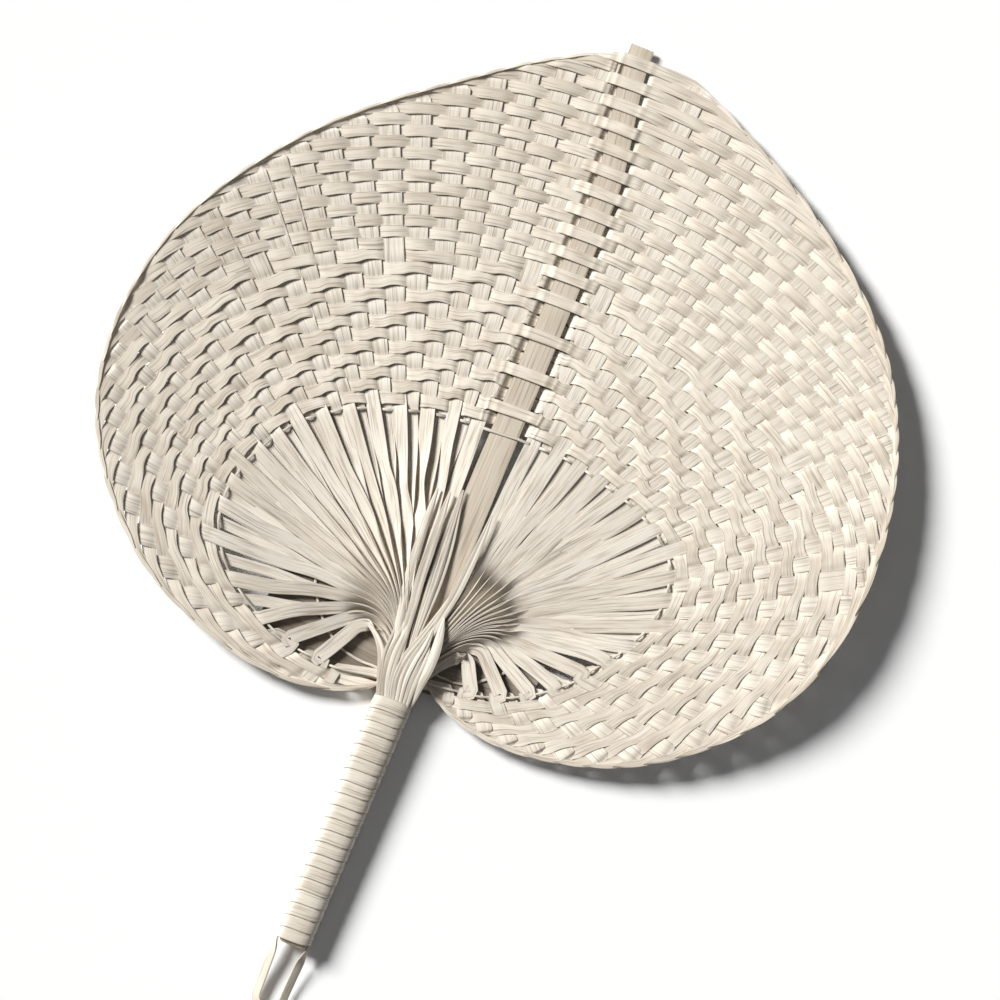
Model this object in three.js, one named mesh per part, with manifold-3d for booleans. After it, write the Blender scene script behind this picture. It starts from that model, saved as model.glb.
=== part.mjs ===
// Woven hand fan: a heart-shaped blade of split stakes and weft strips on a wrapped handle.
// Millimetres. The rib runs along +Y from the handle's upper end to the tip, +Z is up.
import * as THREE from 'three';
import { mergeVertices } from 'three/addons/utils/BufferGeometryUtils.js';
import Module from 'manifold-3d';

const wasm = await Module();
wasm.setup();

// Blade
const BLADE_REACH = 235.5; // from the hub, where the stakes spread, to the tip
const HUB_HEIGHT = 39.5; // hub above the upper end of the handle wrap
const BLADE_HALF_WIDTH = 158; // used for the dish only
const DISH_RISE = 12; // how far the side edges stand above the rib
const SEAT_GAP = 0.2; // between strips that cross
const RIM_INSET = 0.8; // stake ends behind the outline
const TIP_CLEARANCE = 0.32; // under the strips at the tip

// Stakes, the strips that spread from the handle
const GROUPS_PER_SIDE = 9;
const STAKES_PER_GROUP = 4;
const STAKE_THICKNESS = 0.3;
const STAKE_WIDTH = 4.6; // full width out in the weave
const STAKE_FILL_SHARE = 0.48; // of the spacing, where stakes stand close together
const ROOT_HEIGHT = 1.1; // stakes stand on edge in the throat, a group's four one above the other
const TIER_GAP = 0.2; // between them
const ROOT_PITCH = 0.8; // between the slips that neighbouring groups are split from
const SLIP_THICKNESS = 0.4;
const ROOT_DEPTH = 10; // slips inside the wrap
const SPLIT_DEPTH = 4; // of which split
const ROOT_MID_HEIGHT = 6.6; // above the ground
const NEAR_SPREAD = 8.4; // sideways from the hub to the first stake's origin
const LEFT_FAR_SPREAD = 22.8; // and to the last stake's
const RIGHT_FAR_SPREAD = 26;
const LEFT_DROP = 12.5; // from the hub down to the last stake's origin
const RIGHT_DROP = 2.8;
const NEAR_BEND_REACH = 16; // where the bend out of the throat ends, from the first stake's origin
const FAR_BEND_REACH = 7.7; // and from the last stake's

// Weft rows
const ROW_COUNT = 33;
const TWILL_ROWS = 12;
const TWILL_ROWS_SHARE = 0.402; // of the way from the first row's lower edge to the last one's upper edge
const ROW_GAP = 0.65; // between neighbouring rows
const ROW_THICKNESS = 0.35;
const ROW_START = 2.4; // first row's lower edge beyond the lacing strip's line
const TIP_MARGIN = 3.05; // last row's upper edge short of the blade's tip
const TIP_WIDTH = 0.4; // a row's pointed end at the rim

// Lacing strips, two thin strips that hold the stakes apart below the first row
const LACING_WIDTH = 1.2;
const OUTER_LACING_ANGLES = [-158, 150];
const INNER_LACING_ANGLES = [-160, 152];

// Rib
const RIB_ROOT_WIDTH = 13;
const RIB_TIP_WIDTH = 9.5;
const RIB_ROOT_THICKNESS = 2.4;
const RIB_TIP_THICKNESS = 2;
const RIB_OVERHANG = 1.2; // past the blade's tip
const RIB_TIP_SWAY = 8.6; // the tip bends to the left
const RIB_SWAY_LENGTH = 62;
const RIB_ROOT_MID_HEIGHT = 2.5;

// Handle
const WRAP_LENGTH = 104;
const WRAP_TURNS = 20;
const WRAP_STRIP_WIDTH = 4.3;
const WRAP_THICKNESS = 0.4;
const WRAP_TOP_WIDTH = 16.2;
const WRAP_END_WIDTH = 14.4;
const WRAP_TOP_DEPTH = 11;
const WRAP_END_DEPTH = 10;
const WRAP_CORNER_RADIUS = 3;
const CORE_GAP = 0.3; // between the core and what lies round it
const CORE_END_OVERHANG = 1.5;
const CORE_TAIL_LENGTH = 14; // narrowed to seat the loop's strands

// Hanging loop
const LOOP_STRIP_WIDTH = 3;
const LOOP_STRIP_THICKNESS = 0.5;
const LOOP_REACH = 29; // below the wrap
const LOOP_BOW_WIDTH = 11;
const LOOP_TILT = 50; // degrees, of the strip's face in the bow
const LOOP_BOW_MID_HEIGHT = 2.6;

// Lines of the outline and the lacing strips, as shares of BLADE_REACH at angles from the rib, left negative
const OUTLINE_SHARES = [
  [-180, 0.12], [-160, 0.185], [-140, 0.266], [-120, 0.371], [-100, 0.518], [-80, 0.664], [-60, 0.755],
  [-40, 0.813], [-20, 0.882], [-10, 0.943], [0, 1], [10, 0.956], [20, 0.921], [40, 0.861], [60, 0.756],
  [80, 0.632], [100, 0.471], [120, 0.323], [140, 0.217], [160, 0.135], [180, 0.06],
];
const LACING_SHARES = [
  [-180, 0.14], [-160, 0.155], [-140, 0.205], [-120, 0.272], [-90, 0.388], [-60, 0.386], [-30, 0.333],
  [0, 0.314], [30, 0.351], [60, 0.403], [90, 0.286], [120, 0.192], [140, 0.15], [160, 0.128], [180, 0.12],
];
const INNER_LACING_SHARES = [
  [-180, 0.12], [-163, 0.134], [-136, 0.17], [-117, 0.186], [-97, 0.203], [-60, 0.203], [-30, 0.2],
  [0, 0.198], [22, 0.204], [60, 0.204], [84, 0.198], [105, 0.17], [142, 0.131], [154, 0.116], [180, 0.1],
];

// Stake angles from the rib: the first and the last, and between them, at shares of the way
// through a side's stakes, shares of the way from the first angle to the last
const FIRST_STAKE_ANGLE = 2.5;
const LEFT_LAST_ANGLE = 168;
const RIGHT_LAST_ANGLE = 166;
const LEFT_ANGLE_SHARES = [
  [0, 0], [0.1, 0.076], [0.2, 0.158], [0.3, 0.228], [0.4, 0.302], [0.5, 0.368], [0.6, 0.425],
  [0.7, 0.492], [0.8, 0.604], [0.9, 0.778], [1, 1],
];
const RIGHT_ANGLE_SHARES = [
  [0, 0], [0.1, 0.076], [0.2, 0.148], [0.3, 0.212], [0.4, 0.278], [0.5, 0.346], [0.6, 0.42],
  [0.7, 0.51], [0.8, 0.638], [0.9, 0.808], [1, 1],
];

// Pulls of the throat's bends at the root and at the ray, at no turn and at a half turn
const LEFT_ROOT_PULL_SHARES = [0.4, 0.91];
const LEFT_RAY_PULL_SHARES = [0.26, 0.35];
const RIGHT_ROOT_PULL_SHARES = [0.31, 0.65];
const RIGHT_RAY_PULL_SHARES = [0.32, 0.22];

// Steps of the curves
const BEND_STEPS = 4;
const RUN_STEPS = 4;
const LACING_STEPS = 30;
const BOW_STEPS = 8;
const CORNER_STEPS = 2;
const LEAST_STEP = 0.4; // degrees between the last places of a row
const HALVINGS = 30; // of an interval, to find a place
const WAVE_PASSES = 6; // to settle the heights of a strip's peaks
const PEAK_SHARE = 0.42; // of the way to the next crossing, at most, for a peak's flanks

const STAKES_PER_SIDE = GROUPS_PER_SIDE * STAKES_PER_GROUP;
const toRadians = THREE.MathUtils.degToRad;
const lerp = THREE.MathUtils.lerp;
const smooth = (x) => THREE.MathUtils.smoothstep(x, 0, 1);
const HUB = new THREE.Vector2(0, HUB_HEIGHT);
const CROSS_LIFT = STAKE_THICKNESS / 2 + SEAT_GAP + ROW_THICKNESS / 2;

const leafColour = new THREE.Color('#e6dcc8');
const leaf = new THREE.MeshStandardMaterial({ color: leafColour, roughness: 0.62, metalness: 0 });
const ribWood = new THREE.MeshStandardMaterial({ color: '#d6c8b0', roughness: 0.58, metalness: 0 });
const wrapLeaf = new THREE.MeshStandardMaterial({ color: '#ece2d0', roughness: 0.5, metalness: 0 });

// Smooth interpolation through a table of pairs, the second of each a share
function shareCurve(pairs) {
  const places = pairs.map((pair) => pair[0]);
  const shares = pairs.map((pair) => pair[1]);
  const curve = new THREE.CubicInterpolant(places, shares, 1, new Float32Array(1));
  return (place) => curve.evaluate(place)[0];
}

const outlineShare = shareCurve(OUTLINE_SHARES);
const lacingShare = shareCurve(LACING_SHARES);
const innerLacingShare = shareCurve(INNER_LACING_SHARES);
const outlineRadius = (degrees) => outlineShare(degrees) * BLADE_REACH;
const lacingRadius = (degrees) => lacingShare(degrees) * BLADE_REACH;
const innerLacingRadius = (degrees) => innerLacingShare(degrees) * BLADE_REACH;

// Blade surface
const tipMidHeight = RIB_TIP_THICKNESS / 2 + SEAT_GAP + ROW_THICKNESS + TIP_CLEARANCE;
const bladeEndY = HUB_HEIGHT + BLADE_REACH;
const throatMidHeight = (RIB_ROOT_MID_HEIGHT + ROOT_MID_HEIGHT) / 2;

function surfacePoint(x, y) {
  const along = THREE.MathUtils.clamp(y / bladeEndY, 0, 1);
  const dish = DISH_RISE * (x / BLADE_HALF_WIDTH) ** 2;
  return new THREE.Vector3(x, y, lerp(throatMidHeight, tipMidHeight, along) + dish);
}

function surfaceNormal(x, y) {
  const slopeX = (2 * DISH_RISE * x) / BLADE_HALF_WIDTH ** 2;
  const slopeY = y > 0 ? (tipMidHeight - throatMidHeight) / bladeEndY : 0;
  return new THREE.Vector3(-slopeX, -slopeY, 1).normalize();
}

function polarOf(place) {
  const offset = place.clone().sub(HUB);
  return { radius: offset.length(), degrees: THREE.MathUtils.radToDeg(Math.atan2(offset.x, offset.y)) };
}

// Closed strip of four sides; a station holds its two edges and the vector to its upper face
function stripGeometry(stations) {
  const positions = [];
  for (const { left, right, lift } of stations) {
    for (const corner of [
      left.clone().sub(lift), right.clone().sub(lift), right.clone().add(lift), left.clone().add(lift),
    ]) positions.push(corner.x, corner.y, corner.z);
  }
  const indices = [];
  const quad = (a, b, c, d) => indices.push(a, b, c, a, c, d);
  for (let s = 0; s + 1 < stations.length; s += 1) {
    for (let k = 0; k < 4; k += 1) {
      const next = (k + 1) % 4;
      const corners = [4 * s + k, 4 * s + next, 4 * s + 4 + next, 4 * s + 4 + k];
      // The two faces are parted along the same diagonal, so that a twisted strip keeps its thickness
      if (k < 2) quad(...corners);
      else quad(corners[1], corners[2], corners[3], corners[0]);
    }
  }
  const last = 4 * (stations.length - 1);
  quad(3, 2, 1, 0);
  quad(last, last + 1, last + 2, last + 3);
  const geometry = new THREE.BufferGeometry();
  geometry.setAttribute('position', new THREE.Float32BufferAttribute(positions, 3));
  geometry.setIndex(indices);
  return faceOutward(geometry);
}

function signedVolume(geometry) {
  const position = geometry.getAttribute('position');
  const [a, b, c] = [new THREE.Vector3(), new THREE.Vector3(), new THREE.Vector3()];
  let volume = 0;
  for (let i = 0; i < geometry.index.count; i += 3) {
    a.fromBufferAttribute(position, geometry.index.getX(i));
    b.fromBufferAttribute(position, geometry.index.getX(i + 1));
    c.fromBufferAttribute(position, geometry.index.getX(i + 2));
    volume += a.dot(b.cross(c)) / 6;
  }
  return volume;
}

function faceOutward(geometry) {
  if (signedVolume(geometry) < 0) geometry.index.array.reverse();
  geometry.computeVertexNormals();
  return geometry;
}

// Station of a strip from its centre, its direction, the face normal and a tilt about its length
function station(centre, direction, normal, width, thickness, tiltDegrees) {
  const across = new THREE.Vector3().crossVectors(direction, normal).normalize();
  const up = new THREE.Vector3().crossVectors(across, direction).normalize();
  const tilt = toRadians(tiltDegrees);
  const side = across.clone().multiplyScalar(Math.cos(tilt)).addScaledVector(up, Math.sin(tilt));
  const lift = up.clone().multiplyScalar(Math.cos(tilt)).addScaledVector(across, -Math.sin(tilt));
  return {
    left: centre.clone().addScaledVector(side, -width / 2),
    right: centre.clone().addScaledVector(side, width / 2),
    lift: lift.multiplyScalar(thickness / 2),
  };
}

// Stakes
const leftAngleShare = shareCurve(LEFT_ANGLE_SHARES);
const rightAngleShare = shareCurve(RIGHT_ANGLE_SHARES);

const throatOf = (side) => (side < 0 ? {
  lastAngle: LEFT_LAST_ANGLE,
  angleShare: leftAngleShare,
  farSpread: LEFT_FAR_SPREAD,
  drop: LEFT_DROP,
  rootPulls: LEFT_ROOT_PULL_SHARES,
  rayPulls: LEFT_RAY_PULL_SHARES,
} : {
  lastAngle: RIGHT_LAST_ANGLE,
  angleShare: rightAngleShare,
  farSpread: RIGHT_FAR_SPREAD,
  drop: RIGHT_DROP,
  rootPulls: RIGHT_ROOT_PULL_SHARES,
  rayPulls: RIGHT_RAY_PULL_SHARES,
});

function stakeAngle(side, index) {
  const { lastAngle, angleShare } = throatOf(side);
  return side * lerp(FIRST_STAKE_ANGLE, lastAngle, angleShare(index / (STAKES_PER_SIDE - 1)));
}

function stakeRay(side, index) {
  const degrees = stakeAngle(side, index);
  const t = index / (STAKES_PER_SIDE - 1);
  const { farSpread, drop } = throatOf(side);
  const origin = new THREE.Vector2(side * lerp(NEAR_SPREAD, farSpread, t), HUB_HEIGHT - drop * t * t);
  const direction = new THREE.Vector2(Math.sin(toRadians(degrees)), Math.cos(toRadians(degrees)));
  return { origin, direction, degrees };
}

const rayPlace = (ray, distance) => ray.origin.clone().addScaledVector(ray.direction, distance);

// Distance along a stake's ray to a line given as a radius at each angle round the hub
function distanceToLine(ray, radiusAt) {
  let [near, far] = [0, 2 * BLADE_REACH];
  for (let step = 0; step < HALVINGS; step += 1) {
    const middle = (near + far) / 2;
    const { radius, degrees } = polarOf(rayPlace(ray, middle));
    if (radius < radiusAt(degrees)) near = middle;
    else far = middle;
  }
  return near;
}

function stakeSpacing(side, index, distance) {
  const inner = Math.max(index - 1, 0);
  const outer = Math.min(index + 1, STAKES_PER_SIDE - 1);
  const step = Math.abs(stakeAngle(side, outer) - stakeAngle(side, inner)) / (outer - inner);
  const shift = (throatOf(side).farSpread - NEAR_SPREAD) / STAKES_PER_SIDE;
  return toRadians(step) * distance + shift * Math.abs(Math.cos(toRadians(stakeAngle(side, index))));
}

const stakeWidthAt = (side, index, distance) => Math.min(
  STAKE_WIDTH, STAKE_FILL_SHARE * stakeSpacing(side, index, distance));

function makeStake(side, index) {
  const ray = stakeRay(side, index);
  return {
    side,
    index,
    ray,
    flatDistance: distanceToLine(ray, (degrees) => lacingRadius(degrees) - LACING_WIDTH),
    endDistance: distanceToLine(ray, (degrees) => outlineRadius(degrees) - RIM_INSET),
  };
}

const stakesOf = (side) => Array.from({ length: STAKES_PER_SIDE }, (_, index) => makeStake(side, index));
const leftStakes = stakesOf(-1);
const rightStakes = stakesOf(1);

// Where a stake leaves its slip at the wrap's upper end
function rootPlace(side, index) {
  const group = Math.floor(index / STAKES_PER_GROUP);
  const tier = index % STAKES_PER_GROUP - (STAKES_PER_GROUP - 1) / 2;
  return new THREE.Vector3(
    side * (group + 1 / 2) * ROOT_PITCH, 0, ROOT_MID_HEIGHT + tier * (ROOT_HEIGHT + TIER_GAP));
}

// Plan of a stake from its root: straight in the wrap, a bend in the throat, then straight to the rim
function stakePlan(stake) {
  const { side, index, ray } = stake;
  const root = rootPlace(side, index);
  const { rootPulls, rayPulls } = throatOf(side);
  const reach = lerp(NEAR_BEND_REACH, FAR_BEND_REACH, index / (STAKES_PER_SIDE - 1));
  const bendDistance = Math.min(reach, stake.flatDistance / 2);
  const start = new THREE.Vector2(root.x, root.y);
  const end = rayPlace(ray, bendDistance);
  const pull = start.distanceTo(end);
  const turn = Math.abs(ray.degrees) / 180;
  const rootPull = pull * lerp(rootPulls[0], rootPulls[1], turn);
  const rayPull = pull * lerp(rayPulls[0], rayPulls[1], turn);
  const bend = new THREE.CubicBezierCurve(
    start,
    start.clone().add(new THREE.Vector2(0, rootPull)),
    end.clone().addScaledVector(ray.direction, -rayPull),
    end,
  );
  return { root, bend, bendDistance, bendLength: bend.getLength() };
}

// Length from the root at which neighbours of a group stand far enough apart to settle side by side
function partingLength(stakes) {
  const plans = stakes.map(stakePlan);
  const lengths = plans.slice(1).map((plan, k) => {
    let [near, far] = [0, Math.min(plan.bendLength, plans[k].bendLength)];
    for (let step = 0; step < HALVINGS; step += 1) {
      const middle = (near + far) / 2;
      const apart = plan.bend.getPointAt(middle / plan.bendLength).distanceTo(
        plans[k].bend.getPointAt(middle / plans[k].bendLength));
      if (apart < ROOT_HEIGHT - STAKE_THICKNESS) near = middle;
      else far = middle;
    }
    return near;
  });
  return Math.max(...lengths);
}

function stakeStations(stake, parting) {
  const { side, index, ray } = stake;
  const plan = stakePlan(stake);
  const settleLength = plan.bendLength + stake.flatDistance - plan.bendDistance;
  const flatWidth = stakeWidthAt(side, index, stake.flatDistance);
  const stations = [];
  const add = (place, heading, travelled, settledWidth) => {
    const settled = smooth((travelled - parting) / (settleLength - parting));
    const centre = surfacePoint(place.x, place.y);
    centre.z = lerp(plan.root.z, centre.z, settled);
    const normal = surfaceNormal(place.x, place.y).lerp(new THREE.Vector3(0, 0, 1), 1 - settled);
    const direction = new THREE.Vector3(heading.x, heading.y, 0);
    direction.addScaledVector(normal, -direction.dot(normal)).normalize();
    const width = lerp(ROOT_HEIGHT, settledWidth, settled);
    stations.push(station(centre, direction, normal, width, STAKE_THICKNESS, side * 90 * (1 - settled)));
  };
  add(new THREE.Vector2(plan.root.x, -SPLIT_DEPTH), new THREE.Vector2(0, 1), 0, flatWidth);
  for (let k = 0; k <= BEND_STEPS; k += 1) {
    add(plan.bend.getPoint(k / BEND_STEPS), plan.bend.getTangent(k / BEND_STEPS),
      (plan.bendLength * k) / BEND_STEPS, flatWidth);
  }
  const middle = (plan.bendDistance + stake.flatDistance) / 2;
  add(rayPlace(ray, middle), ray.direction, plan.bendLength + middle - plan.bendDistance, flatWidth);
  const runWidth = Math.abs(ray.direction.x) * (stake.endDistance - stake.flatDistance);
  const runSteps = 1 + Math.round(RUN_STEPS * (runWidth / BLADE_HALF_WIDTH));
  for (let k = 0; k <= runSteps; k += 1) {
    const distance = lerp(stake.flatDistance, stake.endDistance, k / runSteps);
    add(rayPlace(ray, distance), ray.direction, settleLength, stakeWidthAt(side, index, distance));
  }
  return stations;
}

// The unsplit slip inside the wrap, which takes in the ends of its stakes
function slipStations(stakes) {
  const { x } = rootPlace(stakes[0].side, stakes[0].index);
  const height = STAKES_PER_GROUP * (ROOT_HEIGHT + TIER_GAP) + TIER_GAP;
  return [-ROOT_DEPTH, -SPLIT_DEPTH / 2].map((y) => station(
    new THREE.Vector3(x, y, ROOT_MID_HEIGHT), new THREE.Vector3(0, 1, 0), new THREE.Vector3(0, 0, 1),
    SLIP_THICKNESS, height, 0));
}

function toSolid(geometry) {
  const bare = new THREE.BufferGeometry();
  bare.setAttribute('position', geometry.getAttribute('position'));
  bare.setIndex(geometry.index);
  const merged = mergeVertices(bare);
  return new wasm.Manifold(new wasm.Mesh({
    numProp: 3,
    vertProperties: new Float32Array(merged.getAttribute('position').array),
    triVerts: new Uint32Array(merged.index.array),
  }));
}

function fromSolid(solid) {
  const { vertProperties, triVerts } = solid.getMesh();
  const geometry = new THREE.BufferGeometry();
  geometry.setAttribute('position', new THREE.Float32BufferAttribute(vertProperties, 3));
  geometry.setIndex(Array.from(triVerts));
  geometry.computeVertexNormals();
  return geometry;
}

// A slip split into its stakes
function stakeGroup(stakes) {
  const parting = partingLength(stakes);
  const strips = [slipStations(stakes), ...stakes.map((stake) => stakeStations(stake, parting))];
  const solids = strips.map((stations) => toSolid(stripGeometry(stations)));
  return fromSolid(solids.reduce((sum, solid) => sum.add(solid)));
}

// Rib
const ribSway = (y) => -RIB_TIP_SWAY * smooth((y - bladeEndY + RIB_SWAY_LENGTH) / RIB_SWAY_LENGTH);
const ribWidth = (y) => lerp(RIB_ROOT_WIDTH, RIB_TIP_WIDTH, THREE.MathUtils.clamp(y / bladeEndY, 0, 1));
const ribThickness = (y) => lerp(
  RIB_ROOT_THICKNESS, RIB_TIP_THICKNESS, THREE.MathUtils.clamp(y / bladeEndY, 0, 1));

function ribGeometry() {
  const levelY = HUB_HEIGHT + innerLacingRadius(0);
  const swayStart = bladeEndY - RIB_SWAY_LENGTH;
  const end = bladeEndY + RIB_OVERHANG;
  const places = [
    -ROOT_DEPTH, HUB_HEIGHT, lerp(HUB_HEIGHT, levelY, 1 / 3), lerp(HUB_HEIGHT, levelY, 2 / 3), levelY,
    (levelY + swayStart) / 2, swayStart,
    lerp(swayStart, end, 1 / 4), lerp(swayStart, end, 1 / 2), lerp(swayStart, end, 3 / 4), end,
  ];
  return stripGeometry(places.map((y) => {
    const centre = surfacePoint(ribSway(y), y);
    centre.z = lerp(RIB_ROOT_MID_HEIGHT, centre.z, smooth((y - HUB_HEIGHT) / (levelY - HUB_HEIGHT)));
    const forward = new THREE.Vector3(0, 1, 0);
    return station(centre, forward, new THREE.Vector3(0, 0, 1), ribWidth(y), ribThickness(y), 0);
  }));
}

// Crossings of a line round the hub with the stakes and the rib, from left to right
function crossingsOf(radiusAt) {
  const stakeCrossing = (stake) => {
    const distance = distanceToLine(stake.ray, radiusAt);
    const { radius, degrees } = polarOf(rayPlace(stake.ray, distance));
    const halfWidth = (stakeWidthAt(stake.side, stake.index, distance) + SEAT_GAP) / 2;
    const slant = toRadians(stake.ray.degrees - degrees);
    return {
      number: stake.side * (stake.index + 1),
      ray: stake.ray,
      degrees,
      halfWidth,
      halfDegrees: THREE.MathUtils.radToDeg(halfWidth / Math.cos(slant) / radius),
      lift: CROSS_LIFT,
      inside: radius < outlineRadius(degrees),
    };
  };
  const ribY = HUB_HEIGHT + radiusAt(0);
  const halfWidth = ribWidth(ribY) / 2 + SEAT_GAP;
  const ribRay = { origin: new THREE.Vector2(ribSway(ribY), HUB_HEIGHT), direction: new THREE.Vector2(0, 1) };
  const rib = {
    number: 0,
    ray: ribRay,
    degrees: polarOf(new THREE.Vector2(ribSway(ribY), ribY)).degrees,
    halfWidth,
    halfDegrees: THREE.MathUtils.radToDeg(halfWidth / radiusAt(0)),
    lift: ribThickness(ribY) / 2 + SEAT_GAP + ROW_THICKNESS / 2,
    inside: true,
  };
  return [...leftStakes.map(stakeCrossing).reverse(), rib, ...rightStakes.map(stakeCrossing)];
}

// Whether a row lies over a stake: two over and one under, mirrored at the rib, or one and one
function liesOver(row, number) {
  if (row >= TWILL_ROWS) return (row + Math.abs(number)) % 2 === 0;
  if (number === 0) return row % 3 === 1;
  return (row + Math.abs(number)) % 3 !== 0;
}

// Knots of a strip's wave along its line: where it is and how far off the stakes' middle plane
function waveKnots(crossings) {
  const count = crossings.length;
  const turns = (k, other) => other < 0 || other >= count || crossings[other].over !== crossings[k].over;
  const peaks = crossings.map((crossing, k) => crossing.number !== 0 && turns(k, k - 1) && turns(k, k + 1)
    && (crossing.plain || !crossing.over));
  const heights = crossings.map((crossing) => crossing.lift);
  for (let pass = 0; pass < WAVE_PASSES; pass += 1) {
    crossings.forEach((crossing, k) => {
      if (!peaks[k]) return;
      for (const other of [k - 1, k + 1]) {
        if (other < 0 || other >= count) continue;
        const spread = Math.abs(crossings[other].degrees - crossing.degrees);
        const reach = spread - (peaks[other] ? 0 : crossings[other].halfDegrees);
        const share = Math.min(crossing.halfDegrees / reach, PEAK_SHARE);
        heights[k] = Math.max(heights[k], (crossing.lift + heights[other] * share) / (1 - share));
      }
    });
  }
  const knots = [];
  crossings.forEach((crossing, k) => {
    const height = (crossing.over ? 1 : -1) * heights[k];
    const addKnot = (shift) => {
      knots.push({ ray: shiftedRay(crossing.ray, shift * crossing.halfWidth), height });
    };
    if (peaks[k]) {
      addKnot(0);
      return;
    }
    if (turns(k, k - 1) || crossing.number === 0) addKnot(-1);
    if (turns(k, k + 1) || crossing.number === 0) addKnot(1);
  });
  return knots;
}

function shiftedRay({ origin, direction }, shift) {
  const across = new THREE.Vector2(direction.y, -direction.x);
  return { origin: across.multiplyScalar(shift).add(origin), direction };
}

function lineStation(lowerEdge, upperEdge, { ray, height }) {
  const inner = rayPlace(ray, distanceToLine(ray, lowerEdge));
  const outer = rayPlace(ray, distanceToLine(ray, upperEdge));
  const middle = inner.clone().add(outer).divideScalar(2);
  const normal = surfaceNormal(middle.x, middle.y);
  return {
    span: [polarOf(inner).degrees, polarOf(outer).degrees],
    left: surfacePoint(inner.x, inner.y).addScaledVector(normal, height),
    right: surfacePoint(outer.x, outer.y).addScaledVector(normal, height),
    lift: normal.multiplyScalar(ROW_THICKNESS / 2),
  };
}

const hubRay = (degrees) => ({
  origin: HUB,
  direction: new THREE.Vector2(Math.sin(toRadians(degrees)), Math.cos(toRadians(degrees))),
});

// Angle on one side where a line leaves the outline
function leavingAngle(side, radiusAt) {
  let [inside, outside] = [0, side * 180];
  for (let step = 0; step < HALVINGS; step += 1) {
    const middle = (inside + outside) / 2;
    if (radiusAt(middle) < outlineRadius(middle)) inside = middle;
    else outside = middle;
  }
  return inside;
}

const rowsSpan = BLADE_REACH - lacingRadius(0) - ROW_START - TIP_MARGIN + ROW_GAP;
const twillPitch = (rowsSpan * TWILL_ROWS_SHARE) / TWILL_ROWS;
const plainPitch = (rowsSpan * (1 - TWILL_ROWS_SHARE)) / (ROW_COUNT - TWILL_ROWS);
const rowWidth = (row) => (row < TWILL_ROWS ? twillPitch : plainPitch) - ROW_GAP;

function rowRadius(row) {
  const twillRise = Math.min(row, TWILL_ROWS) * twillPitch;
  const plainRise = Math.max(row - TWILL_ROWS, 0) * plainPitch;
  const rise = ROW_START + twillRise + plainRise + rowWidth(row) / 2;
  return (degrees) => lacingRadius(degrees) + rise;
}

function rowGeometry(row) {
  const radiusAt = rowRadius(row);
  const halfWidth = rowWidth(row) / 2;
  const lowerEdge = (degrees) => radiusAt(degrees) - halfWidth;
  const upperEdge = (degrees) => Math.min(radiusAt(degrees) + halfWidth, outlineRadius(degrees));
  const crossings = crossingsOf(radiusAt)
    .filter((crossing) => crossing.inside)
    .map((crossing) => ({
      ...crossing,
      over: liesOver(row, crossing.number),
      plain: row >= TWILL_ROWS,
    }));
  const stations = waveKnots(crossings).map((knot) => lineStation(lowerEdge, upperEdge, knot));
  for (const side of [-1, 1]) {
    const tip = leavingAngle(side, (degrees) => lowerEdge(degrees) + TIP_WIDTH);
    const trim = leavingAngle(side, (degrees) => radiusAt(degrees) + halfWidth);
    if (side < 0) stations.reverse();
    const beyond = (degrees) => side * degrees - Math.max(...stations.at(-1).span.map((x) => side * x));
    while (beyond(tip) < LEAST_STEP) stations.pop();
    const last = crossings.at(side < 0 ? 0 : -1);
    const height = (last.over ? 1 : -1) * CROSS_LIFT;
    const places = beyond(trim) > LEAST_STEP && side * (tip - trim) > LEAST_STEP ? [trim, tip] : [tip];
    places.forEach((degrees) => stations.push(
      lineStation(lowerEdge, upperEdge, { ray: hubRay(degrees), height })));
    if (side < 0) stations.reverse();
  }
  return stripGeometry(stations);
}

// Lacing strip over and under single stakes along a line round the hub
function lacingGeometry() {
  const [first, last] = OUTER_LACING_ANGLES;
  const crossings = crossingsOf(lacingRadius)
    .filter((crossing) => crossing.degrees > first && crossing.degrees < last)
    .map((crossing) => ({ ...crossing, over: crossing.number % 2 === 0, plain: true }));
  const knots = waveKnots(crossings);
  return stripGeometry(knots.map((knot) => lineStation(
    (degrees) => lacingRadius(degrees) - LACING_WIDTH / 2,
    (degrees) => lacingRadius(degrees) + LACING_WIDTH / 2,
    knot,
  )));
}

// Inner lacing strip, which runs under the rib and the stakes
function underLacingGeometry() {
  const height = -RIB_ROOT_THICKNESS / 2 - SEAT_GAP - ROW_THICKNESS / 2;
  return stripGeometry(Array.from({ length: LACING_STEPS + 1 }, (_, k) => {
    const ray = hubRay(lerp(INNER_LACING_ANGLES[0], INNER_LACING_ANGLES[1], k / LACING_STEPS));
    return lineStation(
      (degrees) => innerLacingRadius(degrees) - LACING_WIDTH / 2,
      (degrees) => innerLacingRadius(degrees) + LACING_WIDTH / 2,
      { ray, height },
    );
  }));
}

// Handle: a rounded rectangle that narrows toward its end and stands on the ground
const handleShare = (y) => THREE.MathUtils.clamp(-y / WRAP_LENGTH, 0, 1);
const handleWidth = (y) => lerp(WRAP_TOP_WIDTH, WRAP_END_WIDTH, handleShare(y));
const handleDepth = (y) => lerp(WRAP_TOP_DEPTH, WRAP_END_DEPTH, handleShare(y));

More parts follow.
